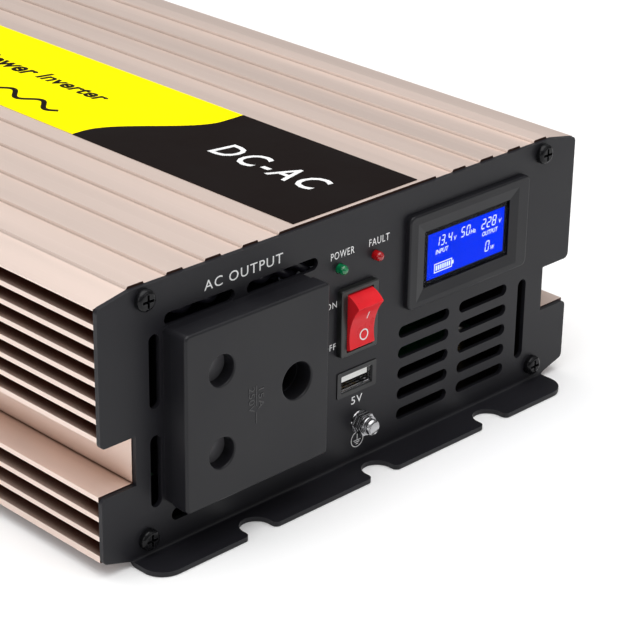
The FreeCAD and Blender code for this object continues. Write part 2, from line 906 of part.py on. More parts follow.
def usb_frame():
    """Plastic surround, nearly flush with the panel."""
    y0 = front_y - usb_frame_reach
    y1 = front_y + usb_frame_depth
    block = rounded_block(usb_x, usb_z, usb_width, usb_height, 0.6, y0, y1)
    hole = rounded_block(usb_x, usb_z, usb_shell_width, usb_shell_height, 0.4, y0 - 1, y1 + 1)
    return block.cut(hole)


def usb_shell():
    """Folded metal shell of the port, closed at the back."""
    y0 = front_y + 0.2
    y1 = front_y + usb_depth
    outer = rounded_block(usb_x, usb_z, usb_shell_width, usb_shell_height, 0.4, y0, y1)
    inner = box(usb_x - usb_shell_width / 2 + usb_shell_wall, usb_x + usb_shell_width / 2 - usb_shell_wall,
                y0 - 1, y1 - 1, usb_z - usb_shell_height / 2 + usb_shell_wall,
                usb_z + usb_shell_height / 2 - usb_shell_wall)
    return outer.cut(inner)


def usb_tongue():
    """White tongue in the upper half of the shell."""
    top = usb_z + usb_shell_height / 2 - usb_shell_wall - usb_tongue_gap
    return box(usb_x - usb_tongue_width / 2, usb_x + usb_tongue_width / 2, front_y + usb_tongue_setback,
               front_y + usb_depth - 1, top - usb_tongue_height, top)


def usb_contacts():
    """Four spring contacts on the underside of the tongue."""
    top = usb_z + usb_shell_height / 2 - usb_shell_wall - usb_tongue_gap - usb_tongue_height
    half = usb_contact_width / 2
    y0 = front_y + 2 * usb_tongue_setback
    return group([box(usb_x + place - half, usb_x + place + half, y0, front_y + usb_depth - 1,
                      top - usb_contact_thickness, top) for place in usb_contact_places])


def usb_board():
    """Small board behind the port."""
    y0 = front_y + usb_depth
    half_x = usb_board_width / 2
    half_z = usb_board_height / 2
    return box(usb_x - half_x, usb_x + half_x, y0, y0 + board_thickness, usb_z - half_z, usb_z + half_z)


def lamp(x):
    """Round indicator lamp: domed lens with a flange behind the panel."""
    y0 = front_y - led_reach
    lens = rod_y(x, led_z, led_radius, y0 + led_radius, front_inner_y)
    dome = Part.makeSphere(led_radius, V(x, y0 + led_radius, led_z))
    flange = rod_y(x, led_z, led_flange_radius, front_inner_y, front_inner_y + led_flange_height)
    return lens.fuse([dome, flange])


def lamp_board():
    """Board that carries both lamps."""
    y0 = front_inner_y + led_flange_height
    margin = lamp_board_margin
    return box(power_led_x - margin, fault_led_x + margin, y0, y0 + board_thickness,
               led_z - margin, led_z + margin)


def display_bezel():
    """Raised frame of the display, sloping in to the window, with a body behind the panel."""
    y0 = front_y - display_reach
    width = display_right - display_left
    height = display_high - display_low
    rim = rounded_block(display_center_x, display_center_z, width, height, display_corner_radius, y0, front_y)
    rim = rim.makeFillet(0.7, edges_at(rim, lambda c: c.y < y0 + eps))
    body = rounded_block(display_center_x, display_center_z, display_body_width, display_body_height, 0.8,
                         front_y, front_y + display_body_depth)
    hole = box(display_hole_x - display_hole_width / 2, display_hole_x + display_hole_width / 2, y0 - 1,
               front_y + display_body_depth + 1, display_hole_z - display_hole_height / 2,
               display_hole_z + display_hole_height / 2)
    seat = window_seat(display_window_y, front_y + display_body_depth + 1)
    return rim.fuse(body).cut([display_funnel(y0), hole, seat])


def display_funnel(y0):
    """Shallow sloping mouth between the frame's face and the window."""
    y1 = y0 + display_funnel_depth
    spread = display_funnel_spread
    front = rectangle_wire(display_hole_width + 2 * spread, display_hole_height + 2 * spread, y0)
    back = rectangle_wire(display_hole_width, display_hole_height, y1)
    return Part.makeLoft([front, back], True, True)


def rectangle_wire(width, height, y):
    """Rectangle about the display opening's centre, in a plane across Y."""
    corners = [(-1, -1), (1, -1), (1, 1), (-1, 1), (-1, -1)]
    return Part.makePolygon([V(display_hole_x + sx * width / 2, y, display_hole_z + sz * height / 2)
                             for sx, sz in corners])


def window_seat(y0, y1):
    """Rebate that takes the window and the display module from behind."""
    half_x = display_hole_width / 2 + 1.5
    half_z = display_hole_height / 2 + 1.5
    return box(display_hole_x - half_x, display_hole_x + half_x, y0, y1, display_hole_z - half_z,
               display_hole_z + half_z)


def display_layer(y0, y1, margin):
    """One flat layer of the display, a little larger than its opening."""
    half_x = display_hole_width / 2 + margin
    half_z = display_hole_height / 2 + margin
    return box(display_hole_x - half_x, display_hole_x + half_x, y0, y1, display_hole_z - half_z,
               display_hole_z + half_z)


# ---------------------------------------------------------------------------
# Ground terminal
# ---------------------------------------------------------------------------

def hex_nut(x, z, flats, y0, y1, bore):
    """Hexagon nut along Y."""
    corner = flats / math.sqrt(3)
    outline = [(x + corner * math.cos(math.radians(60 * i)), z + corner * math.sin(math.radians(60 * i)))
               for i in range(6)]
    return extrude_y(outline, y0, y1).cut(rod_y(x, z, bore, y0 - 1, y1 + 1))


def ground_stud():
    """Screw with a dished round head outside the panel."""
    y0 = front_y - ground_reach
    head = rod_y(ground_x, ground_z, ground_head_radius, y0, y0 + ground_head_height)
    head = head.makeFillet(0.5, edges_at(head, lambda c: c.y < y0 + eps))
    dish_y = y0 + ground_dish_depth - ground_dish_radius
    dish = Part.makeSphere(ground_dish_radius, V(ground_x, dish_y, ground_z))
    shank = rod_y(ground_x, ground_z, ground_shank_radius, y0 + ground_head_height - 0.2,
                  front_inner_y + ground_shank_inside)
    return head.fuse(shank).cut(dish)


def ground_nut():
    """Nut that holds the ground screw to the panel."""
    y1 = front_y - ground_washer_height
    return hex_nut(ground_x, ground_z, ground_nut_flats, y1 - ground_nut_height, y1, ground_shank_radius)


def ground_washers():
    """Washer under the nut and the loose washer under the screw's head."""
    nut_y = front_y - ground_washer_height - ground_nut_height
    loose_y = nut_y - lug_washer_gap - lug_washer_height
    rings = []
    for radius, y0, height in ((ground_washer_radius, front_y - ground_washer_height, ground_washer_height),
                               (lug_washer_radius, loose_y, lug_washer_height)):
        ring = rod_y(ground_x, ground_z, radius, y0, y0 + height)
        rings.append(ring.cut(rod_y(ground_x, ground_z, ground_shank_radius, y0 - 1, y0 + height + 1)))
    return group(rings)


# ---------------------------------------------------------------------------
# Fans and battery terminals
# ---------------------------------------------------------------------------

def fan_corners(side):
    """Screw places of one fan."""
    x = side * fan_x
    return [(x + dx * fan_screw_offset, fan_z + dz * fan_screw_offset) for dx in (-1, 1) for dz in (-1, 1)]


def fan_frame(side):
    """Square fan frame with its duct, and the motor carrier on three struts."""
    x = side * fan_x
    y0 = rear_inner_y - fan_depth
    frame = rounded_block(x, fan_z, fan_size, fan_size, fan_corner_radius, y0, rear_inner_y)
    frame = frame.cut(rod_y(x, fan_z, fan_duct_radius, y0 - 1, rear_inner_y + 1))
    struts = []
    half = fan_strut_width / 2
    for index in range(fan_strut_count):
        strut = box(0, fan_duct_radius + 0.6, y0, y0 + fan_strut_depth, -half, half)
        strut.rotate(V(0, 0, 0), V(0, 1, 0), 360 * index / fan_strut_count + 30)
        struts.append(placed(strut, x, 0, fan_z))
    carrier = rod_y(x, fan_z, fan_carrier_radius, y0, y0 + fan_strut_depth)
    shaft = rod_y(x, fan_z, fan_shaft_radius, y0, y0 + fan_shaft_length)
    frame = frame.fuse(struts + [carrier, shaft])
    return frame.cut([rod_y(cx, cz, fan_screw_radius, y0 - 1, rear_inner_y + 1)
                      for cx, cz in fan_corners(side)])


def fan_rotor(side):
    """Hub and twisted blades of one fan, bored for its shaft."""
    x = side * fan_x
    back_y = rear_inner_y - fan_depth
    y0 = back_y + fan_rotor_setback
    y1 = rear_inner_y - fan_rotor_inset
    hub = rod_y(0, 0, fan_hub_radius, y0, y1)
    hub = hub.makeFillet(1.5, edges_at(hub, lambda c: c.y > y1 - eps))
    blades = [fan_blade(index, (y0 + y1) / 2) for index in range(fan_blade_count)]
    rotor = hub.fuse(blades)
    rim = rod_y(0, 0, fan_blade_radius, y0, y1)
    bore = rod_y(0, 0, fan_shaft_radius + fan_shaft_play, y0 - 1, back_y + fan_shaft_length + 0.5)
    return placed(rotor.common(rim).cut(bore), x, 0, fan_z)


def fan_blade(index, y):
    """One flat blade, pitched about its own length."""
    half_y = fan_blade_thickness / 2
    half_z = fan_blade_chord / 2
    blade = box(fan_hub_radius - 1.5, fan_blade_radius + 2, -half_y, half_y, -half_z, half_z)
    blade.rotate(V(0, 0, 0), V(1, 0, 0), fan_blade_pitch)
    blade.translate(V(0, y, 0))
    blade.rotate(V(0, 0, 0), V(0, 1, 0), 360.0 * index / fan_blade_count)
    return blade


def fan_guard(side):
    """Wire guard outside the rear panel: rings, two crossed wires and four lugs."""
    x = side * fan_x
    y = guard_outer_y - 2.5 * guard_wire_radius
    wires = []
    for radius in guard_ring_radii:
        wires.append(Part.makeTorus(radius, guard_wire_radius, V(x, y, fan_z), V(0, 1, 0)))
    reach = fan_screw_offset * math.sqrt(2) - 3
    for angle in (45, 135):
        bar = rod_x(0, 0, guard_wire_radius, -reach, reach)
        bar.rotate(V(0, 0, 0), V(0, 1, 0), angle)
        wires.append(placed(bar, x, y + guard_wire_radius * 0.7, fan_z))
    lugs = []
    for cx, cz in fan_corners(side):
        lug = rod_y(cx, cz, guard_lug_radius, rear_y, guard_outer_y)
        lugs.append(lug.cut(rod_y(cx, cz, fan_screw_radius, rear_y - 1, guard_outer_y + 1)))
    return wires[0].fuse(wires[1:] + lugs)


def fan_screws():
    """Eight screws through the guards and the panel into the fan frames."""
    screw = pan_head_screw(fan_screw_head_radius, fan_screw_head_height, fan_screw_radius, fan_screw_length)
    screw = turned_about_z(screw)
    return group([placed(screw, x, guard_outer_y, z) for side in (-1, 1) for x, z in fan_corners(side)])


def terminal_insulator(z):
    """Square moulded base of one battery terminal, with its spigot through the panel."""
    size = terminal_base_size
    top = rear_y + terminal_base_height
    base = rounded_block(0, z, size, size, terminal_base_corner, rear_y, top)
    base = base.makeFillet(1.0, edges_at(base, lambda c: c.y > top - eps))
    spigot = rod_y(0, z, terminal_spigot_radius, rear_inner_y - terminal_spigot_depth, rear_y)
    bore = rod_y(0, z, terminal_stud_radius, rear_inner_y - terminal_spigot_depth - 1, top + 1)
    recess = rod_y(0, z, terminal_seat_radius + 1, top - terminal_recess_depth, top + 1)
    return base.fuse(spigot).cut([bore, recess])


def terminal_stud(z):
    """Plated stud with its flat seat for a cable lug."""
    tip_y = rear_y + terminal_reach - terminal_stud_setback
    stud = rod_y(0, z, terminal_stud_radius, rear_inner_y - terminal_stud_inside, tip_y)
    stud = stud.makeChamfer(0.6, edges_at(stud, lambda c: c.y > tip_y - eps))
    seat_y = rear_y + terminal_base_height - terminal_recess_depth
    return stud.fuse(rod_y(0, z, terminal_seat_radius, seat_y, seat_y + terminal_seat_thickness))


def terminal_cap(z):
    """Ribbed screw cap that clamps a cable lug on the stud."""
    y0 = rear_y + terminal_base_height + terminal_cap_lift
    y1 = rear_y + terminal_reach
    cap = rod_y(0, z, terminal_cap_radius, y0, y1)
    cap = cap.makeFillet(1.5, edges_at(cap, lambda c: c.y > y1 - eps))
    grooves = []
    reach = terminal_cap_radius + terminal_groove_offset
    for index in range(terminal_groove_count):
        angle = 2 * math.pi * index / terminal_groove_count
        grooves.append(rod_y(reach * math.cos(angle), z + reach * math.sin(angle), terminal_groove_radius,
                             y0 + terminal_groove_start, y1 + 1))
    bore = rod_y(0, z, terminal_stud_radius + terminal_cap_play, y0 - 1, y1 - terminal_cap_top)
    return cap.cut(grooves + [bore])


# ---------------------------------------------------------------------------
# Inside the case
# ---------------------------------------------------------------------------

def main_board():
    """Main circuit board, with holes for its screws."""
    board = box(-board_half_width, board_half_width, board_front_y, board_rear_y, board_bottom, board_top)
    return board.cut([rod_z(x, y, board_screw_radius, board_bottom - 1, board_top + 1)
                      for x, y in board_screw_places()])


def board_screw_places():
    """Six fixing points of the main board."""
    x = board_half_width - board_screw_inset_x
    rows = (board_front_y + board_screw_inset_y, (board_front_y + board_rear_y) / 2,
            board_rear_y - board_screw_inset_y)
    return [(side * x, y) for side in (-1, 1) for y in rows]


def board_standoffs():
    """Pillars between the floor and the main board."""
    pillars = []
    for x, y in board_screw_places():
        pillar = rod_z(x, y, standoff_radius, floor_top, board_bottom)
        pillars.append(pillar.cut(rod_z(x, y, board_screw_radius, floor_top - 1, board_bottom + 1)))
    return group(pillars)


def board_screws():
    """Screws through the main board into the pillars."""
    screw = pan_head_screw(board_screw_head_radius, board_screw_head_height, board_screw_radius,
                           board_screw_length)
    screw.rotate(V(0, 0, 0), V(1, 0, 0), -90)
    return group([placed(screw, x, y, board_top) for x, y in board_screw_places()])


def transformer_places():
    """Y centres of the two power transformers."""
    first = (board_front_y + board_rear_y) / 2 + core_offset
    return [first, first + core_spacing]


def transformer_cores():
    """Ferrite cores: a frame with a centre leg."""
    half = core_width / 2
    depth = core_depth / 2
    low = board_top + core_lift
    high = low + core_height
    cores = []
    for y in transformer_places():
        core = box(-half, half, y - depth, y + depth, low, high)
        windows = [mirrored_block(side, core_leg_width / 2, half - core_limb, y - depth - 1, y + depth + 1,
                                  low + core_limb, high - core_limb) for side in (-1, 1)]
        cores.append(core.cut(windows))
    return group(cores)


def transformer_windings():
    """Wound bobbins around each core's centre leg."""
    half_x = winding_width / 2
    half_y = winding_depth / 2
    low = board_top + core_lift + core_limb + winding_clearance
    high = board_top + core_lift + core_height - core_limb - winding_clearance
    leg_x = core_leg_width / 2 + winding_play
    leg_y = core_depth / 2 + winding_play
    windings = []
    for y in transformer_places():
        outer = box(-half_x, half_x, y - half_y, y + half_y, low, high)
        outer = outer.makeFillet(winding_corner_radius, edges_along(outer, V(0, 0, 1)))
        windings.append(outer.cut(box(-leg_x, leg_x, y - leg_y, y + leg_y, low - 1, high + 1)))
    return group(windings)


def capacitor(x, y, radius, height):
    """Round capacitor standing on the main board, with a rounded top and crimped foot."""
    can = rod_z(x, y, radius, board_top, board_top + height)
    can = can.makeFillet(radius * 0.12, edges_at(can, lambda c: c.z > board_top + height - eps))
    groove = Part.makeTorus(radius, radius * 0.07, V(x, y, board_top + height * 0.12))
    return can.cut(groove)


def bus_capacitors():
    """High-voltage capacitors near the socket end."""
    y = board_front_y + bus_can_setback
    return group([capacitor(x, y, bus_can_radius, bus_can_height) for x in bus_can_columns])


def input_capacitors():
    """Low-voltage capacitors near the battery terminals."""
    y = board_rear_y - input_can_setback
    return group([capacitor(x, y, input_can_radius, input_can_height) for x in input_can_columns])


def transistor_places():
    """Y centres of the transistors along each side wall."""
    return [board_front_y + transistor_first + i * transistor_pitch for i in range(transistor_count)]


def transistor(side, y):
    """One transistor on its three legs, with its back against the side wall."""
    half = transistor_width / 2
    base = board_top + transistor_lift
    inner_x = transistor_wall_x - transistor_thickness
    body = mirrored_block(side, inner_x, transistor_wall_x, y - half, y + half,
                          base, base + transistor_height)
    middle_x = (inner_x + transistor_wall_x) / 2
    leg = transistor_leg_size / 2
    legs = [mirrored_block(side, middle_x - leg, middle_x + leg, y + index * transistor_leg_spacing - leg,
                           y + index * transistor_leg_spacing + leg, board_top, base) for index in (-1, 0, 1)]
    return body.fuse(legs)


def power_transistors():
    """Transistors standing in rows against both side walls."""
    return group([transistor(side, y) for side in (-1, 1) for y in transistor_places()])


def transistor_clamps():
    """Bars that press the transistors against the side walls."""
    y0 = transistor_places()[0] - clamp_overhang
    y1 = transistor_places()[-1] + clamp_overhang
    outer_x = transistor_wall_x - transistor_thickness
    low = board_top + clamp_lift
    return group([mirrored_block(side, outer_x - clamp_thickness, outer_x, y0, y1, low, low + clamp_height)
                  for side in (-1, 1)])


def output_inductor():
    """Wound ring of the output filter, lying on the main board."""
    center = V(inductor_x, board_front_y + inductor_setback, board_top + inductor_wire_radius + inductor_lift)
    return Part.makeTorus(inductor_radius, inductor_wire_radius, center)


def input_fuses():
    """Row of blade fuses behind the battery terminals."""
    y = board_rear_y - fuse_setback
    base = board_top + fuse_lift
    half_blade = fuse_blade_thickness / 2
    solids = []
    for index in range(fuse_count):
        x = fuse_first_x + index * fuse_pitch
        body = box(x - fuse_width / 2, x + fuse_width / 2, y - fuse_length / 2, y + fuse_length / 2,
                   base, base + fuse_height)
        blades = []
        for middle in (y - fuse_blade_spacing / 2, y + fuse_blade_spacing / 2):
            blades.append(box(x - half_blade, x + half_blade, middle - fuse_blade_width / 2,
                              middle + fuse_blade_width / 2, board_top, base))
        solids.append(body.fuse(blades))
    return group(solids)


def control_board():
    """Upright control board on the main board."""
    return box(control_board_left, control_board_right, control_y, control_y + board_thickness,
               board_top, board_top + control_board_height)


def control_chips():
    """Integrated circuits on the control board."""
    half_x = chip_size / 2
    half_z = chip_height / 2
    return group([box(x - half_x, x + half_x, control_y - chip_thickness, control_y, z - half_z, z + half_z)
                  for x, z in chip_places])


def ac_wires():
    """Insulated wires from the socket's contacts to the main board."""
    y0 = front_y + socket_body_depth - contact_setback
    end_y = board_front_y + ac_wire_setback
    solids = []
    for index, (x, z, _) in enumerate(pin_places()):
        end_x = ac_wire_first_x + index * ac_wire_pitch
        route = [(x, y0, z), (x, y0 + 9, z), (end_x, end_y, z - ac_wire_drop), (end_x, end_y, board_top)]
        solids.append(tube(route, wire_radius))
    return group(solids)


def lamp_wires():
    """Twisted pair from the lamp board, behind the upper left slot, to the main board."""
    y = front_inner_y + lamp_wire_offset
    x = lamp_wire_wall_gap - transistor_wall_x
    slot_z = level_vents[0][1]
    end_y = board_front_y + lamp_wire_setback
    start_x = power_led_x - lamp_board_margin - lamp_wire_start_gap
    route = [(start_x, y, led_z), (start_x - lamp_wire_rise_run, y, slot_z), (x, y, slot_z),
             (x, end_y, led_z), (x, end_y, board_top - lamp_wire_end_dip)]
    return group(twisted_pair(route, lamp_wire_radius, lamp_wire_pitch))


def main():
    """Write every node."""
    save("upper_housing", upper_housing())
    save("lower_housing", lower_housing())
    save("front_panel", front_panel())
    save("rear_panel", rear_panel())
    save("front_panel_screws", panel_screws(False))
    save("rear_panel_screws", panel_screws(True))
    save("side_screws", side_screws())
    save("deck_label", deck_label())
    save("socket_base", socket_base())
    save("socket_face", socket_face())
    save("socket_shutter", socket_shutter())
    sleeves = zip(("socket_line_contact", "socket_neutral_contact", "socket_earth_contact"), pin_places(),
                  (line_pin_radius, line_pin_radius, earth_pin_radius))
    for name, place, pin_radius in sleeves:
        save(name, contact_sleeve(place, pin_radius))
    save("switch_frame", switch_frame())
    save("switch_rocker", switch_rocker())
    save("switch_terminals", switch_terminals())
    save("usb_frame", usb_frame())
    save("usb_shell", usb_shell())
    save("usb_tongue", usb_tongue())
    save("usb_contacts", usb_contacts())
    save("usb_board", usb_board())
    save("power_lamp", lamp(power_led_x))
    save("fault_lamp", lamp(fault_led_x))
    save("lamp_board", lamp_board())
    save("display_bezel", display_bezel())
    module_y = display_window_y + display_window_thickness + display_module_gap
    board_y = front_y + display_body_depth
    save("display_window", display_layer(display_window_y, display_window_y + display_window_thickness,
                                         display_layer_margin))
    save("display_module", display_layer(module_y, module_y + display_module_thickness, display_layer_margin))
    save("display_board", display_layer(board_y, board_y + board_thickness, display_board_margin))
    save("ground_stud", ground_stud())
    save("ground_nut", ground_nut())
    save("ground_washers", ground_washers())
    for side, word in ((-1, "left"), (1, "right")):
        save("fan_frame_" + word, fan_frame(side))
        save("fan_rotor_" + word, fan_rotor(side))
        save("fan_guard_" + word, fan_guard(side))
    save("fan_screws", fan_screws())
    for z, word in ((terminal_high_z, "positive"), (terminal_low_z, "negative")):
        save("terminal_insulator_" + word, terminal_insulator(z))
        save("terminal_stud_" + word, terminal_stud(z))
        save("terminal_cap_" + word, terminal_cap(z))
    save("main_board", main_board())
    save("board_standoffs", board_standoffs())
    save("board_screws", board_screws())
    save("transformer_cores", transformer_cores())
    save("transformer_windings", transformer_windings())
    save("bus_capacitors", bus_capacitors())
    save("input_capacitors", input_capacitors())
    save("power_transistors", power_transistors())
    save("transistor_clamps", transistor_clamps())
    save("output_inductor", output_inductor())
    save("input_fuses", input_fuses())
    save("control_board", control_board())
    save("control_chips", control_chips())
    save("ac_wires", ac_wires())
    save("lamp_wires", lamp_wires())


main()
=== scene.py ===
import json
import math

import bmesh
import bpy
from mathutils import Matrix, Vector
from mathutils.bvhtree import BVHTree


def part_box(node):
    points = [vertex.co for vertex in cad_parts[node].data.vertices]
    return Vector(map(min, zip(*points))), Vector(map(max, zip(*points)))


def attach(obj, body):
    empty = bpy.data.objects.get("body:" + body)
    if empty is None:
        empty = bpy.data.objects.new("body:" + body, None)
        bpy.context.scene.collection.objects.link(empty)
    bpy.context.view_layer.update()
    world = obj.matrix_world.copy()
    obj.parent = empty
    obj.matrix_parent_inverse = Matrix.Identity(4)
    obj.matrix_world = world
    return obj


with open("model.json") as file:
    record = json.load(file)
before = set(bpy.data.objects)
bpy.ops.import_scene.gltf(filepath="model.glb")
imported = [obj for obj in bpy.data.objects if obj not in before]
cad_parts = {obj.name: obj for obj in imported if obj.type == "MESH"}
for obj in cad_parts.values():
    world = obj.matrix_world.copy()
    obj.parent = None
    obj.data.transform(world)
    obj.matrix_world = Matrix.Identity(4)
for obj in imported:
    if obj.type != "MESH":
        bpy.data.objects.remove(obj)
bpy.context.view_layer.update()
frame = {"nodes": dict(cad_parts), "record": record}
cad = frame["nodes"]
scene = bpy.context.scene
scene.view_settings.view_transform = "Standard"

MM = 0.001
SOCKETS = {"coat": "Coat Weight", "coat_rough": "Coat Roughness", "specular": "Specular IOR Level"}


# ---------------------------------------------------------------------------
# Places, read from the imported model
# ---------------------------------------------------------------------------

def low(node):
    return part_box(node)[0]


def high(node):
    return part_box(node)[1]


def middle(node):
    return (low(node) + high(node)) / 2


SOCKET_BASE_DEPTH = 3.7 * MM
SCREW_HEAD_HEIGHT = 2.3 * MM
FRONT = high("socket_face").y + SOCKET_BASE_DEPTH        # outer face of the front panel
REAR = high("rear_panel_screws").y - SCREW_HEAD_HEIGHT   # outer face of the rear panel

# The hollow inside the housing, where the case metal is painted dark as shade
INSIDE_HALF_WIDTH = 84.0 * MM
INSIDE_LOW = 2.6 * MM
INSIDE_HIGH = 81.5 * MM
INSIDE_FADE = 0.1 * MM


# ---------------------------------------------------------------------------
# Materials
# ---------------------------------------------------------------------------

NOISE_LOW, NOISE_HIGH = 0.3, 0.7      # range that a noise texture mostly stays in
GRAIN_LOW, GRAIN_HIGH = 0.35, 0.65
WEAR_RADIUS = 0.6 * MM                # width of the worn band along an edge
FLAT_DOT, EDGE_DOT = 0.99, 0.85       # rounded normal against true normal: on a flat, on an edge
# The foot of a deck strip gets a line of painted shade, from ambient occlusion
STEP_REACH = 0.9 * MM                 # how far the dark line at the foot of a deck strip spreads
GAP_REACH = 11.0 * MM                 # how far the fins' shade spreads

def link(tree, source, target):
    tree.links.new(source, target)


def texture_place(tree, stretch):
    """Object coordinates, stretched along the axes."""
    coords = tree.nodes.new("ShaderNodeTexCoord")
    mapping = tree.nodes.new("ShaderNodeMapping")
    mapping.inputs["Scale"].default_value = stretch
    link(tree, coords.outputs["Object"], mapping.inputs["Vector"])
    return mapping.outputs["Vector"]


def noise(tree, vector, scale, detail=3.0, rough=0.55):
    node = tree.nodes.new("ShaderNodeTexNoise")
    node.inputs["Scale"].default_value = scale
    node.inputs["Detail"].default_value = detail
    node.inputs["Roughness"].default_value = rough
    link(tree, vector, node.inputs["Vector"])
    return node.outputs["Fac"]


def remap(tree, value, low_in, high_in, low_out, high_out):
    node = tree.nodes.new("ShaderNodeMapRange")
    numbers = {"From Min": low_in, "From Max": high_in, "To Min": low_out, "To Max": high_out}
    for name, number in numbers.items():
        node.inputs[name].default_value = number
    link(tree, value, node.inputs["Value"])
    return node.outputs["Result"]


def blend(tree, factor, first, second):
    """Mix two colours, each a tuple or a socket."""
    node = tree.nodes.new("ShaderNodeMix")
    node.data_type = "RGBA"
    for value, socket in ((factor, node.inputs[0]), (first, node.inputs[6]), (second, node.inputs[7])):
        if isinstance(value, bpy.types.NodeSocket):
            link(tree, value, socket)
        elif isinstance(value, tuple):
            socket.default_value = (*value, 1.0)
        else:
            socket.default_value = value
    return node.outputs[2]


def math_node(tree, operation, first, second=None):
    """One step of arithmetic on sockets."""
    node = tree.nodes.new("ShaderNodeMath")
    node.operation = operation
    link(tree, first, node.inputs[0])
    if second is not None:
        link(tree, second, node.inputs[1])
    return node


def split_axes(tree, vector):
    node = tree.nodes.new("ShaderNodeSeparateXYZ")
    link(tree, vector, node.inputs["Vector"])
    return node.outputs


def base_color(made):
    """A material's tree, its shader and the socket that feeds the shader's base colour."""
    shader = made.node_tree.nodes["Principled BSDF"]
    return made.node_tree, shader, shader.inputs["Base Color"].links[0].from_socket


def add_relief(tree, height, strength, distance):
    """Bump the shader's normal by a height."""
    node = tree.nodes.new("ShaderNodeBump")
    node.inputs["Strength"].default_value = strength
    node.inputs["Distance"].default_value = distance
    link(tree, height, node.inputs["Height"])
    link(tree, node.outputs["Normal"], tree.nodes["Principled BSDF"].inputs["Normal"])


def edge_mask(tree, radius):
    """White along the edges of a solid, within a radius."""
    bevel = tree.nodes.new("ShaderNodeBevel")
    bevel.samples = 4
    bevel.inputs["Radius"].default_value = radius
    shape = tree.nodes.new("ShaderNodeNewGeometry")
    dot = tree.nodes.new("ShaderNodeVectorMath")
    dot.operation = "DOT_PRODUCT"
    link(tree, bevel.outputs["Normal"], dot.inputs[0])
    link(tree, shape.outputs["Normal"], dot.inputs[1])
    return remap(tree, dot.outputs["Value"], FLAT_DOT, EDGE_DOT, 0.0, 1.0)


def material(name, color, rough, metal=0.0, stretch=(1, 1, 1), scale=60.0, vary=0.12, fine=900.0, bump=0.05,
             wear=0.0, wear_color=None, rough_vary=0.08, glow=0.0, depth=0.05 * MM, **extra):
    """A painted, moulded or metal surface: mottled colour, uneven roughness, fine bump and worn edges."""
    made = bpy.data.materials.new(name)
    made.use_nodes = True
    tree = made.node_tree
    shader = tree.nodes["Principled BSDF"]
    vector = texture_place(tree, stretch)
    broad = noise(tree, vector, scale, 4.0)
    grain = noise(tree, vector, fine, 2.0, 0.6)
    dark = tuple(c * (1 - vary) for c in color)
    light = tuple(min(1.0, c * (1 + vary)) for c in color)
    mixed = blend(tree, remap(tree, broad, NOISE_LOW, NOISE_HIGH, 0.0, 1.0), dark, light)
    mixed = blend(tree, remap(tree, grain, GRAIN_LOW, GRAIN_HIGH, 0.0, vary * 1.5), mixed, dark)
    if wear:
        mask = remap(tree, edge_mask(tree, WEAR_RADIUS), 0.0, 1.0, 0.0, wear)
        mixed = blend(tree, mask, mixed, wear_color or tuple(min(1.0, c * 2.2 + 0.03) for c in color))
    link(tree, mixed, shader.inputs["Base Color"])
    smooth, dull = max(0.02, rough - rough_vary), min(1.0, rough + rough_vary)
    link(tree, remap(tree, broad, NOISE_LOW, NOISE_HIGH, smooth, dull), shader.inputs["Roughness"])
    add_relief(tree, grain, bump, depth)
    shader.inputs["Metallic"].default_value = metal
    for key, value in extra.items():
        shader.inputs[SOCKETS[key]].default_value = value
    if glow:
        link(tree, mixed, shader.inputs["Emission Color"])
        shader.inputs["Emission Strength"].default_value = glow
    return made


def openness(tree, distance):
    """How much of a surface's surroundings is clear within a distance, 1 in the open."""
    node = tree.nodes.new("ShaderNodeAmbientOcclusion")
    node.samples = 8
    node.inputs["Distance"].default_value = distance
    return node.outputs["AO"]


def inside_shade_mask(tree):
    """White on the walls of the hollow inside the housing."""
    place = split_axes(tree, texture_place(tree, (1, 1, 1)))
    across = math_node(tree, "ABSOLUTE", place["X"]).outputs[0]
    within = remap(tree, across, INSIDE_HALF_WIDTH, INSIDE_HALF_WIDTH + INSIDE_FADE, 1.0, 0.0)
    height = math_node(tree, "COMPARE", place["Z"])
    height.inputs[1].default_value = (INSIDE_LOW + INSIDE_HIGH) / 2
    height.inputs[2].default_value = (INSIDE_HIGH - INSIDE_LOW) / 2
    return math_node(tree, "MULTIPLY", within, height.outputs[0]).outputs[0]


def case_metal():
    """Champagne anodised extrusion with die lines along its length.

    It turns golden, then red-brown, as the fins close in: painted reflection, then painted shade. The feet of
    the deck strips are outlined in painted shade.
    The hollow inside and the sawn ends are painted dark as shade.
    """
    made = material("champagne_anodised", (0.80, 0.66, 0.59), 0.50, metal=0.75, stretch=(1, 0.03, 1),
                    scale=55.0, vary=0.04, fine=1500.0, bump=0.35, rough_vary=0.05, wear=0.4,
                    wear_color=(0.95, 0.86, 0.80), depth=0.04 * MM)
    tree, shader, base = base_color(made)
    # Painted shade: a dark line where the deck strips' walls meet the deck
    outline = remap(tree, openness(tree, STEP_REACH), 0.70, 0.92, 0.85, 0.0)
    base = blend(tree, outline, base, (0.10, 0.065, 0.05))
    # Painted light: from how open the surface is, the recess goes golden as painted reflection and the fin
    # gaps red-brown as painted shade
    gap = openness(tree, GAP_REACH)
    base = blend(tree, remap(tree, gap, 0.55, 0.85, 0.5, 0.0), base, (0.72, 0.50, 0.38))
    base = blend(tree, remap(tree, gap, 0.30, 0.62, 0.0, 1.0), (0.13, 0.038, 0.018), base)
    # Painted shade: the walls of the hollow inside the housing go near black
    base = blend(tree, inside_shade_mask(tree), base, (0.020, 0.016, 0.014))
    # Painted shade: faces across the case's length go dark brown
    shape = tree.nodes.new("ShaderNodeNewGeometry")
    lengthwise = split_axes(tree, shape.outputs["True Normal"])["Y"]
    facing = math_node(tree, "ABSOLUTE", lengthwise).outputs[0]
    end_face_shade = remap(tree, facing, 0.9, 0.95, 0.0, 1.0)
    link(tree, blend(tree, end_face_shade, base, (0.075, 0.035, 0.025)), shader.inputs["Base Color"])
    return made


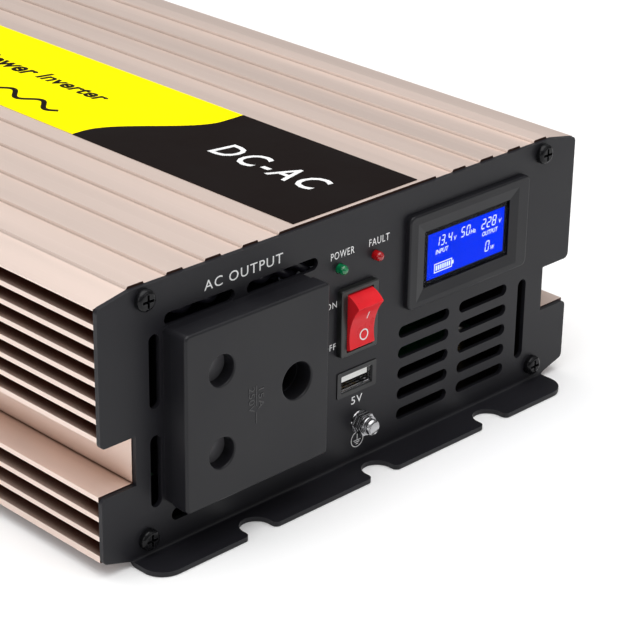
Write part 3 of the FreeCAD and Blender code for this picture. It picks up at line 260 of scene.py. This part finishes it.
def threaded(name, color, rough, pitch):
    """Plated screw metal with thread lines across the length of the case."""
    made = material(name, color, rough, metal=1.0, bump=0.05)
    tree = made.node_tree
    wave = tree.nodes.new("ShaderNodeTexWave")
    wave.bands_direction = "Y"
    wave.inputs["Scale"].default_value = 1.0 / pitch / 3.1416 * 0.5
    link(tree, texture_place(tree, (1, 1, 1)), wave.inputs["Vector"])
    add_relief(tree, wave.outputs["Fac"], 0.8, 0.3 * MM)
    return made


def window_material():
    """Clear flat window: what is behind shows through, under a gloss."""
    made = bpy.data.materials.new("clear_window")
    made.use_nodes = True
    tree = made.node_tree
    shader = tree.nodes["Principled BSDF"]
    shader.inputs["Base Color"].default_value = (0.02, 0.02, 0.03, 1.0)
    shader.inputs["Alpha"].default_value = 0.05
    smear = noise(tree, texture_place(tree, (1, 1, 1)), 90.0)
    link(tree, remap(tree, smear, NOISE_LOW, NOISE_HIGH, 0.03, 0.10), shader.inputs["Roughness"])
    return made


def board_material():
    """Green solder mask with paler copper tracks under it."""
    made = material("circuit_board_green", (0.004, 0.032, 0.013), 0.35, vary=0.2, scale=150.0, fine=1200.0,
                    bump=0.1, coat=0.3)
    tree, shader, base = base_color(made)
    brick = tree.nodes.new("ShaderNodeTexBrick")
    brick.inputs["Scale"].default_value = 160.0
    brick.inputs["Mortar Size"].default_value = 0.09
    for name, level in (("Color1", 0), ("Color2", 0), ("Mortar", 1)):
        brick.inputs[name].default_value = (level, level, level, 1)
    link(tree, texture_place(tree, (1, 1, 1)), brick.inputs["Vector"])
    tracks = remap(tree, brick.outputs["Fac"], 0, 1, 0, 0.5)
    link(tree, blend(tree, tracks, base, (0.02, 0.12, 0.04)), shader.inputs["Base Color"])
    return made


LOOKS = {
    "case_metal": case_metal(),
    "panel_paint": material("charcoal_powder_coat", (0.0100, 0.0097, 0.0125), 0.44, scale=30.0,
                            vary=0.12, fine=2300.0, bump=0.22, wear=0.12,
                            wear_color=(0.05, 0.048, 0.052), rough_vary=0.05, depth=0.06 * MM,
                            specular=0.27),
    "black_screw": material("black_oxide_steel", (0.006, 0.006, 0.007), 0.20, metal=0.2, scale=200.0,
                            vary=0.3, fine=1600.0, bump=0.1, wear=0.3, wear_color=(0.05, 0.05, 0.053),
                            specular=0.22),
    "label_film": material("yellow_print", (0.98, 0.84, 0.0), 0.5, scale=25.0, vary=0.02, fine=2500.0,
                           bump=0.04, rough_vary=0.05, specular=0.02),
    "socket_plastic": material("socket_grey_plastic", (0.0092, 0.0090, 0.0112), 0.38, scale=40.0,
                               vary=0.10, fine=2600.0, bump=0.12, wear=0.2,
                               wear_color=(0.05, 0.05, 0.053), specular=0.27),
    # Painted light: the shutters are the socket face's dark grey plastic, made far lighter so their sunk
    # floors look as lit as the face
    "shutter_plastic": material("shutter_plastic", (0.085, 0.084, 0.090), 0.38, scale=60.0, vary=0.08,
                                fine=2600.0, bump=0.1),
    "contact_brass": material("drawn_brass", (0.80, 0.56, 0.24), 0.28, metal=1.0, scale=180.0, vary=0.15,
                              stretch=(1, 0.1, 1)),
    "switch_plastic": material("switch_black_plastic", (0.012, 0.013, 0.0125), 0.34, scale=80.0,
                               vary=0.1, fine=2600.0, bump=0.1, wear=0.3),
    "rocker_plastic": material("rocker_red_plastic", (0.74, 0.016, 0.024), 0.34, scale=120.0, vary=0.08,
                               fine=2400.0, bump=0.04, coat=0.04, coat_rough=0.2, wear=0.2,
                               wear_color=(0.85, 0.10, 0.10), specular=0.14),
    "tinned_metal": material("tin_plate", (0.40, 0.38, 0.36), 0.35, metal=1.0, scale=300.0, vary=0.15),
    "port_plastic": material("port_black_plastic", (0.010, 0.010, 0.011), 0.42, scale=90.0, vary=0.1,
                             fine=2600.0),
    "nickel": threaded("bright_nickel", (0.42, 0.42, 0.43), 0.16, 0.7 * MM),
    "white_plastic": material("white_moulding", (0.86, 0.86, 0.83), 0.40, scale=120.0, vary=0.04),
    "circuit_board": board_material(),
    "lamp_green": material("green_epoxy", (0.0, 0.15, 0.05), 0.10, scale=400.0, vary=0.25, bump=0.01,
                           coat=0.5, coat_rough=0.03, rough_vary=0.04, glow=0.08),
    "lamp_red": material("red_epoxy", (0.34, 0.003, 0.005), 0.10, scale=400.0, vary=0.25, bump=0.01,
                         coat=0.5, coat_rough=0.03, rough_vary=0.04, glow=0.08),
    "display_plastic": material("display_black_plastic", (0.0100, 0.0099, 0.0122), 0.38, scale=50.0,
                                vary=0.10, fine=2600.0, bump=0.12, wear=0.1,
                                wear_color=(0.06, 0.06, 0.063), specular=0.25),
    "window_clear": window_material(),
    "display_blue": material("backlit_blue", (0.0, 0.020, 0.64), 0.35, scale=60.0, vary=0.05,
                             fine=4000.0, bump=0.01, glow=0.82, specular=0.0),
    "fan_plastic": material("fan_black_plastic", (0.020, 0.020, 0.021), 0.38, scale=70.0, vary=0.12,
                            fine=2000.0, bump=0.1, wear=0.25),
    "guard_wire": material("plated_wire", (0.78, 0.78, 0.79), 0.18, metal=1.0, scale=250.0, vary=0.12,
                           bump=0.05),
    "red_plastic": material("terminal_red_plastic", (0.42, 0.012, 0.012), 0.42, scale=90.0, vary=0.1,
                            fine=2200.0, bump=0.12, wear=0.3, wear_color=(0.7, 0.12, 0.1)),
    "black_plastic": material("terminal_black_plastic", (0.022, 0.022, 0.023), 0.42, scale=90.0,
                              vary=0.1, fine=2200.0, bump=0.12, wear=0.3),
    "ferrite": material("ground_ferrite", (0.025, 0.025, 0.026), 0.6, scale=500.0, vary=0.3, fine=3000.0,
                        bump=0.3),
    "winding_tape": material("polyester_tape", (0.30, 0.21, 0.04), 0.3, stretch=(0.1, 0.1, 1),
                             scale=450.0, vary=0.2, fine=900.0, bump=0.3, coat=0.3),
    "copper_winding": material("enamelled_copper", (0.30, 0.10, 0.04), 0.3, metal=0.8, scale=700.0,
                               vary=0.3, fine=1500.0, bump=0.5),
    "can_sleeve": material("capacitor_sleeve", (0.012, 0.018, 0.045), 0.3, scale=60.0, vary=0.2,
                           coat=0.3),
    "chip_plastic": material("chip_epoxy", (0.020, 0.020, 0.021), 0.55, scale=900.0, vary=0.3,
                             fine=3000.0, bump=0.3),
    "spring_bar": material("rolled_steel", (0.50, 0.50, 0.51), 0.35, metal=1.0, stretch=(1, 0.05, 1),
                           scale=400.0, vary=0.15),
    "fuse_plastic": material("fuse_orange", (0.75, 0.22, 0.02), 0.2, scale=200.0, vary=0.1, coat=0.5),
    "wire_jacket": material("dark_vinyl", (0.030, 0.028, 0.035), 0.35, scale=200.0, vary=0.15, bump=0.1),
    "panel_wire_jacket": material("slate_vinyl", (0.020, 0.019, 0.028), 0.35, scale=200.0, vary=0.15,
                                  bump=0.1),
    "brass_pillar": material("turned_brass", (0.76, 0.58, 0.28), 0.25, metal=1.0, stretch=(1, 1, 8),
                             scale=300.0, vary=0.12),
}
white_ink = material("white_ink", (0.80, 0.80, 0.80), 0.45, scale=300.0, vary=0.05, fine=2500.0,
                     bump=0.05)
grey_ink = material("grey_ink", (0.50, 0.50, 0.51), 0.45, scale=300.0, vary=0.05, fine=2500.0, bump=0.05)
black_ink = material("black_ink", (0.006, 0.003, 0.0026), 0.45, scale=40.0, vary=0.10, fine=2500.0,
                     bump=0.04, specular=0.06)
black_film = material("black_film", (0.003, 0.003, 0.004), 0.5, scale=60.0, vary=0.1, fine=3000.0,
                      bump=0.02, specular=0.05)
lit_segment = material("lit_segment", (0.72, 0.84, 1.0), 0.4, scale=300.0, vary=0.02, bump=0.01,
                       glow=0.5)
relief_plastic = material("relief_plastic", (0.020, 0.020, 0.022), 0.30, scale=300.0, vary=0.1,
                          bump=0.05)

slot_of = {part["node"]: part["material_slot"] for part in frame["record"]["subparts"]}
for node, thing in cad.items():
    look = LOOKS[slot_of[node]]
    if not thing.material_slots:
        thing.data.materials.append(look)
    for held in thing.material_slots:
        held.material = look


# ---------------------------------------------------------------------------
# New pieces
# ---------------------------------------------------------------------------

# The directions of a flat drawing's right, up and outward axes
FRONT_FACING = (Vector((1, 0, 0)), Vector((0, 0, 1)), Vector((0, -1, 0)))
REAR_FACING = (Vector((-1, 0, 0)), Vector((0, 0, 1)), Vector((0, 1, 0)))
DECK_FACING = (Vector((0, -1, 0)), Vector((1, 0, 0)), Vector((0, 0, 1)))
FRONT_TURNED_DOWN = (Vector((0, 0, -1)), Vector((1, 0, 0)), Vector((0, -1, 0)))

INK_BOTTOM, INK_TOP = -0.02, 0.04      # print's underside and top, in mm from the surface
LIT_BOTTOM, LIT_TOP = 0.01, 0.03       # the same for the display's segments
RELIEF_TOP = 0.10                      # moulded characters


def plane_matrix(axes, origin):
    """Matrix that carries a flat drawing onto a plane."""
    right, up, out = axes
    turned = Matrix((right, up, out)).transposed().to_4x4()
    return Matrix.Translation(Vector(origin)) @ turned


def add_piece(name, mesh, look, body):
    """Put a mesh in the scene as a piece that rides on a body."""
    thing = bpy.data.objects.new(name, mesh)
    scene.collection.objects.link(thing)
    mesh.materials.clear()
    mesh.materials.append(look)
    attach(thing, body)
    return thing


def extruded(outlines, bottom, top):
    """Mesh of flat (x, y) outlines given a thickness."""
    made = bmesh.new()
    for outline in outlines:
        lower = [made.verts.new((x, y, bottom)) for x, y in outline]
        upper = [made.verts.new((x, y, top)) for x, y in outline]
        made.faces.new(upper)
        made.faces.new(lower[::-1])
        for i in range(len(outline)):
            j = (i + 1) % len(outline)
            made.faces.new((lower[i], lower[j], upper[j], upper[i]))
    bmesh.ops.recalc_face_normals(made, faces=made.faces)
    mesh = bpy.data.meshes.new("outline")
    made.to_mesh(mesh)
    made.free()
    return mesh


def text_mesh(words, place, bottom, top, slant, weight, spacing):
    """Words fitted into a box, given as left, right, bottom and top, on a flat drawing."""
    x0, x1, y0, y1 = place
    curve = bpy.data.curves.new("words", "FONT")
    curve.body = words
    curve.shear = slant
    curve.offset = weight
    curve.space_character = spacing
    curve.extrude = 0.5
    curve.resolution_u = 3
    holder = bpy.data.objects.new("words", curve)
    scene.collection.objects.link(holder)
    bpy.context.view_layer.update()
    mesh = bpy.data.meshes.new_from_object(holder.evaluated_get(bpy.context.evaluated_depsgraph_get()))
    bpy.data.objects.remove(holder)
    bpy.data.curves.remove(curve)
    xs = [v.co.x for v in mesh.vertices]
    ys = [v.co.y for v in mesh.vertices]
    sx = (x1 - x0) / (max(xs) - min(xs))
    sy = (y1 - y0) / (max(ys) - min(ys))
    for v in mesh.vertices:
        height = top if v.co.z > 0 else bottom
        v.co = Vector((x0 + (v.co.x - min(xs)) * sx, y0 + (v.co.y - min(ys)) * sy, height))
    return mesh


def write(name, words, box_mm, plane, look, slant=0.0, weight=0.0, spacing=1.0, bottom=INK_BOTTOM,
          top=INK_TOP):
    """Words printed on the case, in a box of a plane's left, right, bottom and top."""
    place = [value * MM for value in box_mm]
    mesh = text_mesh(words, place, bottom * MM, top * MM, slant, weight, spacing)
    mesh.transform(plane)
    return add_piece(name, mesh, look, "case")


def draw(name, outlines_mm, plane, look, bottom=INK_BOTTOM, top=INK_TOP, body="case"):
    """Shapes printed on a plane, from outlines in millimetres."""
    outlines = [[(x * MM, y * MM) for x, y in outline] for outline in outlines_mm]
    mesh = extruded(outlines, bottom * MM, top * MM)
    mesh.transform(plane)
    return add_piece(name, mesh, look, body)


def bar(x0, x1, y0, y1):
    return [(x0, y0), (x1, y0), (x1, y1), (x0, y1)]


def ring(cx, cy, outer, inner, count=40):
    """A ring as a row of four-cornered pieces."""
    parts = []
    for i in range(count):
        a, b = (2 * math.pi * k / count for k in (i, i + 1))
        parts.append([(cx + outer * math.cos(a), cy + outer * math.sin(a)),
                      (cx + outer * math.cos(b), cy + outer * math.sin(b)),
                      (cx + inner * math.cos(b), cy + inner * math.sin(b)),
                      (cx + inner * math.cos(a), cy + inner * math.sin(a))])
    return parts


def ribbon(points, width):
    """A line of even width through points, as a row of four-cornered pieces."""
    sides = []
    for i, (x, y) in enumerate(points):
        (x0, y0), (x1, y1) = points[max(0, i - 1)], points[min(len(points) - 1, i + 1)]
        long = math.hypot(x1 - x0, y1 - y0)
        nx, ny = -(y1 - y0) / long * width / 2, (x1 - x0) / long * width / 2
        sides.append(((x - nx, y - ny), (x + nx, y + ny)))
    return [[a[0], b[0], b[1], a[1]] for a, b in zip(sides, sides[1:])]


front_plane = plane_matrix(FRONT_FACING, (0, FRONT, 0))
LEGENDS = {
    "legend_output": ("AC OUTPUT", (-59.8, -30.3, 75.6, 78.6)),
    "legend_power": ("POWER", (-11.2, -1.6, 70.2, 72.5)),
    "legend_fault": ("FAULT", (4.5, 13.0, 70.2, 72.5)),
    "legend_on": ("ON", (-12.8, -8.4, 54.9, 56.9)),
    "legend_off": ("OFF", (-13.6, -8.5, 41.5, 43.5)),
    "legend_port": ("5V", (-1.4, 3.2, 20.7, 23.2)),
}
for name, (words, place) in LEGENDS.items():
    write(name, words, place, front_plane, white_ink, spacing=1.15)

# Earth symbol beside the ground terminal: a ring, a stem and three bars that grow shorter
ex, ez = 1.5, 8.2
earth_marks = ring(ex, ez, 2.65, 2.4)
earth_marks.append(bar(ex - 0.12, ex + 0.12, ez - 0.2, ez + 1.8))
for half, top in ((1.5, -0.2), (1.0, -0.8), (0.5, -1.4)):
    earth_marks.append(bar(ex - half, ex + half, ez + top - 0.25, ez + top))
draw("earth_symbol", earth_marks, front_plane, white_ink)

# Rating moulded in low relief on the socket's face
face_plane = plane_matrix(FRONT_TURNED_DOWN, (0, low("socket_face").y, 0))
RATING = {
    "rating_current": ("15A", (-45.6, -39.4, -48.6, -46.4)),
    "rating_voltage": ("250V", (-46.9, -39.0, -52.2, -50.0)),
}
for name, (words, place) in RATING.items():
    write(name, words, place, face_plane, relief_plastic, top=RELIEF_TOP)
rating_rule = [bar(-46.9, -40.6, -49.45, -49.15), bar(-38.6, -35.2, -49.45, -49.15)]
draw("rating_rule", rating_rule, face_plane, relief_plastic, top=RELIEF_TOP)


# ---------------------------------------------------------------------------
# Label
# ---------------------------------------------------------------------------

BORDER_FAR = 101.3          # how far behind the panel the black field ends, at the label's left
BORDER_DROP = 22.7          # how much nearer it ends at the right
BORDER_START = -19.5        # where across the label the border starts to turn
BORDER_WIDTH = 38.5
BORDER_STEPS = 48
WRAP = 0.06                 # how far the black field laps over the film's edge
WAVE_START, WAVE_LENGTH = -166.0, 45.0
WAVE_MIDDLE, WAVE_HEIGHT = -13.4, 2.3
WAVE_STEPS = 90
WAVE_LINE = 1.8


def border_distance(x):
    """How far behind the panel the black field ends, at a place across the label."""
    t = min(1.0, max(0.0, (x - BORDER_START) / BORDER_WIDTH))
    return BORDER_FAR - BORDER_DROP * t * t * (3 - 2 * t)


def wave_point(i):
    """A point of the sine wave, which makes three turns."""
    share = i / WAVE_STEPS
    return WAVE_START + WAVE_LENGTH * share, WAVE_MIDDLE + WAVE_HEIGHT * math.sin(6 * math.pi * share)


label_low, label_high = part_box("deck_label")
deck_plane = plane_matrix(DECK_FACING, (0, FRONT, label_high.z))
left, right = label_low.x / MM, label_high.x / MM
near = (FRONT - label_low.y) / MM
across = [left + (right - left) * i / BORDER_STEPS for i in range(BORDER_STEPS + 1)]
black_field = [(near + WRAP, left - WRAP), (-border_distance(left), left - WRAP),
               *((-border_distance(x), x) for x in across),
               (-border_distance(right), right + WRAP), (near + WRAP, right + WRAP)]
draw("label_black_field", [black_field], deck_plane, black_ink, bottom=-0.19, top=0.02)
write("label_words_conversion", "DC-AC", (-62.3, -17.2, -2.9, 7.4), deck_plane, white_ink,
      slant=0.2, weight=0.012, spacing=1.22, top=0.05)
write("label_word_power", "Power", (-184.0, -154.5, 0.2, 7.8), deck_plane, black_ink,
      slant=0.2, weight=0.03)
write("label_word_inverter", "Inverter", (-152.5, -118.8, 1.6, 7.8), deck_plane, black_ink,
      slant=0.2, weight=0.03)
wave_points = [wave_point(i) for i in range(WAVE_STEPS + 1)]
draw("label_wave_symbol", ribbon(wave_points, WAVE_LINE), deck_plane, black_ink)


# ---------------------------------------------------------------------------
# Display
# ---------------------------------------------------------------------------

SEGMENTS = {"0": "abcdef", "1": "bc", "2": "abged", "3": "abgcd", "4": "fgbc", "5": "afgcd", "8": "abcdefg"}


def segment_outlines(digit, x, y, width, height, slant=0.16, line=0.34):
    """Seven-segment digit as outlines, leaning to the right."""
    h = height / 2
    gap = line * 0.18
    cap = line / 2
    flat = {"a": (0, height), "g": (0, h), "d": (0, 0)}
    upright = {"f": (0, h), "b": (width, h), "e": (0, 0), "c": (width, 0)}
    shapes = []
    for key in SEGMENTS[digit]:
        if key in flat:
            y0 = flat[key][1]
            shapes.append([(gap, y0), (gap + cap, y0 + cap), (width - gap - cap, y0 + cap), (width - gap, y0),
                           (width - gap - cap, y0 - cap), (gap + cap, y0 - cap)])
        else:
            x0, y0 = upright[key]
            shapes.append([(x0, y0 + gap), (x0 + cap, y0 + gap + cap), (x0 + cap, y0 + h - gap - cap),
                           (x0, y0 + h - gap), (x0 - cap, y0 + h - gap - cap), (x0 - cap, y0 + gap + cap)])
    return [[(x + px + py * slant, y + py) for px, py in shape] for shape in shapes]


module_low, module_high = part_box("display_module")
display_plane = plane_matrix(FRONT_FACING, (0, module_low.y, 0))

# Digits, with the left and the bottom of the first, its width and height, and the step to the next
NUMBERS = (
    ("13", 32.9, 62.2, 1.35, 3.0, 2.3),
    ("4", 38.4, 62.2, 1.35, 3.0, 2.3),
    ("50", 44.2, 62.2, 1.35, 3.0, 2.35),
    ("228", 53.6, 62.2, 1.45, 3.0, 2.4),
    ("0", 55.6, 54.2, 1.5, 3.2, 2.4),
)
digits = []
for number, x, y, width, height, pitch in NUMBERS:
    for i, digit in enumerate(number):
        digits += segment_outlines(digit, x + i * pitch, y, width, height)
decimal_point = bar(37.3, 37.75, 62.0, 62.45)
digits.append(decimal_point)
draw("display_digits", digits, display_plane, lit_segment, LIT_BOTTOM, LIT_TOP)

battery = [bar(32.6, 40.6, 56.3, 56.6), bar(32.6, 40.6, 53.6, 53.9), bar(32.6, 32.9, 53.9, 56.3),
           bar(40.3, 40.6, 53.9, 56.3), bar(40.6, 41.3, 54.5, 55.7)]
battery += [bar(33.3 + i * 0.97, 33.95 + i * 0.97, 54.3, 55.9) for i in range(7)]
draw("display_battery_symbol", battery, display_plane, lit_segment, LIT_BOTTOM, LIT_TOP)

DISPLAY_WORDS = {
    "display_word_input": ("INPUT", (33.0, 38.7, 59.6, 61.1)),
    "display_word_output": ("OUTPUT", (54.0, 61.2, 59.6, 61.1)),
    "display_unit_volt_in": ("V", (41.0, 42.2, 62.1, 63.5)),
    "display_unit_hertz": ("Hz", (48.6, 51.0, 62.1, 63.5)),
    "display_unit_volt_out": ("V", (61.5, 62.8, 62.1, 63.5)),
    "display_unit_watt": ("W", (58.2, 60.0, 54.1, 55.5)),
}
for name, (words, place) in DISPLAY_WORDS.items():
    write(name, words, place, display_plane, lit_segment, slant=0.15, weight=0.01,
          bottom=LIT_BOTTOM, top=LIT_TOP)

# Black border between the blue field and the module's edge
MASK_MARGIN = 0.2
out_left, out_right = module_low.x / MM + MASK_MARGIN, module_high.x / MM - MASK_MARGIN
out_low, out_high = module_low.z / MM + MASK_MARGIN, module_high.z / MM - MASK_MARGIN
blue_left, blue_right, blue_low, blue_high = 29.4, 64.0, 52.1, 67.0
mask = [bar(out_left, blue_left, out_low, out_high), bar(blue_right, out_right, out_low, out_high),
        bar(blue_left, blue_right, out_low, blue_low), bar(blue_left, blue_right, blue_high, out_high)]
draw("display_mask", mask, display_plane, black_film, LIT_BOTTOM, 0.05)


# ---------------------------------------------------------------------------
# Marks on the rocker, laid on its hollow face
# ---------------------------------------------------------------------------

MARK_PROUD = 0.04 * MM
MARK_SUNK = 0.02 * MM
RAY_START = 0.01            # how far in front of the node the rays start, in metres


def lay_on(node, outlines_mm):
    """Outlines in (x, z) millimetres laid on the front of a CAD node, a little proud of it."""
    data = cad[node].data
    corners = [v.co.copy() for v in data.vertices]
    tree = BVHTree.FromPolygons(corners, [tuple(p.vertices) for p in data.polygons])
    mesh = extruded([[(x * MM, z * MM) for x, z in outline] for outline in outlines_mm], 0.0, 1.0)
    start = low(node).y - RAY_START
    for v in mesh.vertices:
        lift = MARK_PROUD if v.co.z > 0.5 else -MARK_SUNK
        hit = tree.ray_cast(Vector((v.co.x, start, v.co.y)), Vector((0, 1, 0)))[0]
        v.co = Vector((v.co.x, hit.y - lift, v.co.y))
    return mesh


mark_x = middle("switch_rocker").x / MM + 1.2
line_marks = [bar(mark_x - 0.2, mark_x + 0.2, 49.8 + i * 0.5, 50.3 + i * 0.5) for i in range(5)]
add_piece("rocker_on_mark", lay_on("switch_rocker", line_marks), white_ink, "rocker")
circle_marks = ring(mark_x - 0.3, 44.5, 1.8, 1.38, 36)
add_piece("rocker_off_mark", lay_on("switch_rocker", circle_marks), white_ink, "rocker")


# ---------------------------------------------------------------------------
# Battery end
# ---------------------------------------------------------------------------

rear_plane = plane_matrix(REAR_FACING, (0, REAR, 0))
plus_z, minus_z = (middle("terminal_stud_" + word).z / MM for word in ("positive", "negative"))
plus_sign = [bar(14.6, 19.0, plus_z + 12.6, plus_z + 13.6), bar(16.3, 17.3, plus_z + 10.9, plus_z + 15.3)]
draw("battery_plus_mark", plus_sign, rear_plane, white_ink)
minus_sign = [bar(14.6, 19.0, minus_z - 13.6, minus_z - 12.6)]
draw("battery_minus_mark", minus_sign, rear_plane, white_ink)
write("legend_input", "DC INPUT", (-9.5, 9.5, 75.4, 78.2), rear_plane, white_ink)

HUB_DISC_RADIUS = 11.0
HUB_DISC_PINHOLE = 0.01
for side in ("left", "right"):
    hub = middle("fan_rotor_" + side)
    hub_plane = plane_matrix(REAR_FACING, (hub.x, high("fan_rotor_" + side).y, hub.z))
    draw("fan_hub_disc_" + side, ring(0, 0, HUB_DISC_RADIUS, HUB_DISC_PINHOLE, 48), hub_plane, grey_ink,
         top=0.06, body="rotor_" + side)


# ---------------------------------------------------------------------------
# Floor, light and camera
# ---------------------------------------------------------------------------

floor_mesh = extruded([bar(-6, 6, -6, 6)], -0.02, -0.0002)
floor = bpy.data.objects.new("floor", floor_mesh)
scene.collection.objects.link(floor)
pale_floor = material("pale_floor", (0.88, 0.88, 0.88), 0.7, scale=3.0, vary=0.01, fine=80.0, bump=0.01,
                      glow=0.12)
floor_mesh.materials.append(pale_floor)

LEVEL_SKY, HIGH_SKY = 0.083, 0.60      # strength of the sky at the horizon and high up
world = bpy.data.worlds.new("studio")
scene.world = world
world.use_nodes = True
sky = world.node_tree
background = sky.nodes["Background"]
background.inputs["Color"].default_value = (1.0, 1.0, 1.0, 1.0)
direction = sky.nodes.new("ShaderNodeTexCoord")
upward = split_axes(sky, direction.outputs["Generated"])["Z"]
link(sky, remap(sky, upward, 0.0, 0.9, LEVEL_SKY, HIGH_SKY), background.inputs["Strength"])


def soft_light(name, place, target, width, height, power):
    """White area light that faces a target."""
    data = bpy.data.lights.new(name, "AREA")
    data.shape = "RECTANGLE"
    data.size, data.size_y = width, height
    data.energy = power
    lamp = bpy.data.objects.new(name, data)
    lamp.location = place
    lamp.rotation_euler = (Vector(target) - Vector(place)).to_track_quat("-Z", "Y").to_euler()
    scene.collection.objects.link(lamp)


soft_light("top_light", (-0.2, -0.1, 1.3), (0, 0, 0), 1.6, 1.6, 21)
soft_light("left_light", (-1.5, 0.0, 0.6), (0, 0, 0.04), 1.2, 0.8, 4.5)
soft_light("front_light", (0.5, -1.5, 0.8), (0.1, -0.4, 0.0), 0.9, 0.7, 2.2)

camera_data = bpy.data.cameras.new("camera")
camera_data.sensor_width = 36.0
camera_data.lens = 126.15
camera_data.clip_start, camera_data.clip_end = 0.05, 50.0
camera = bpy.data.objects.new("camera", camera_data)
scene.collection.objects.link(camera)
azimuth, elevation, roll = math.radians(-44.99), math.radians(24.87), math.radians(0.996)
level = math.cos(elevation)
back = Vector((math.sin(azimuth) * level, -math.cos(azimuth) * level, math.sin(elevation)))
upright = (-back).to_track_quat("-Z", "Y").to_matrix()
camera.location = (-0.43031, -0.58443, 0.32519)
camera.rotation_mode = "QUATERNION"
camera.rotation_quaternion = (Matrix.Rotation(roll, 3, back) @ upright).to_quaternion()
scene.camera = camera
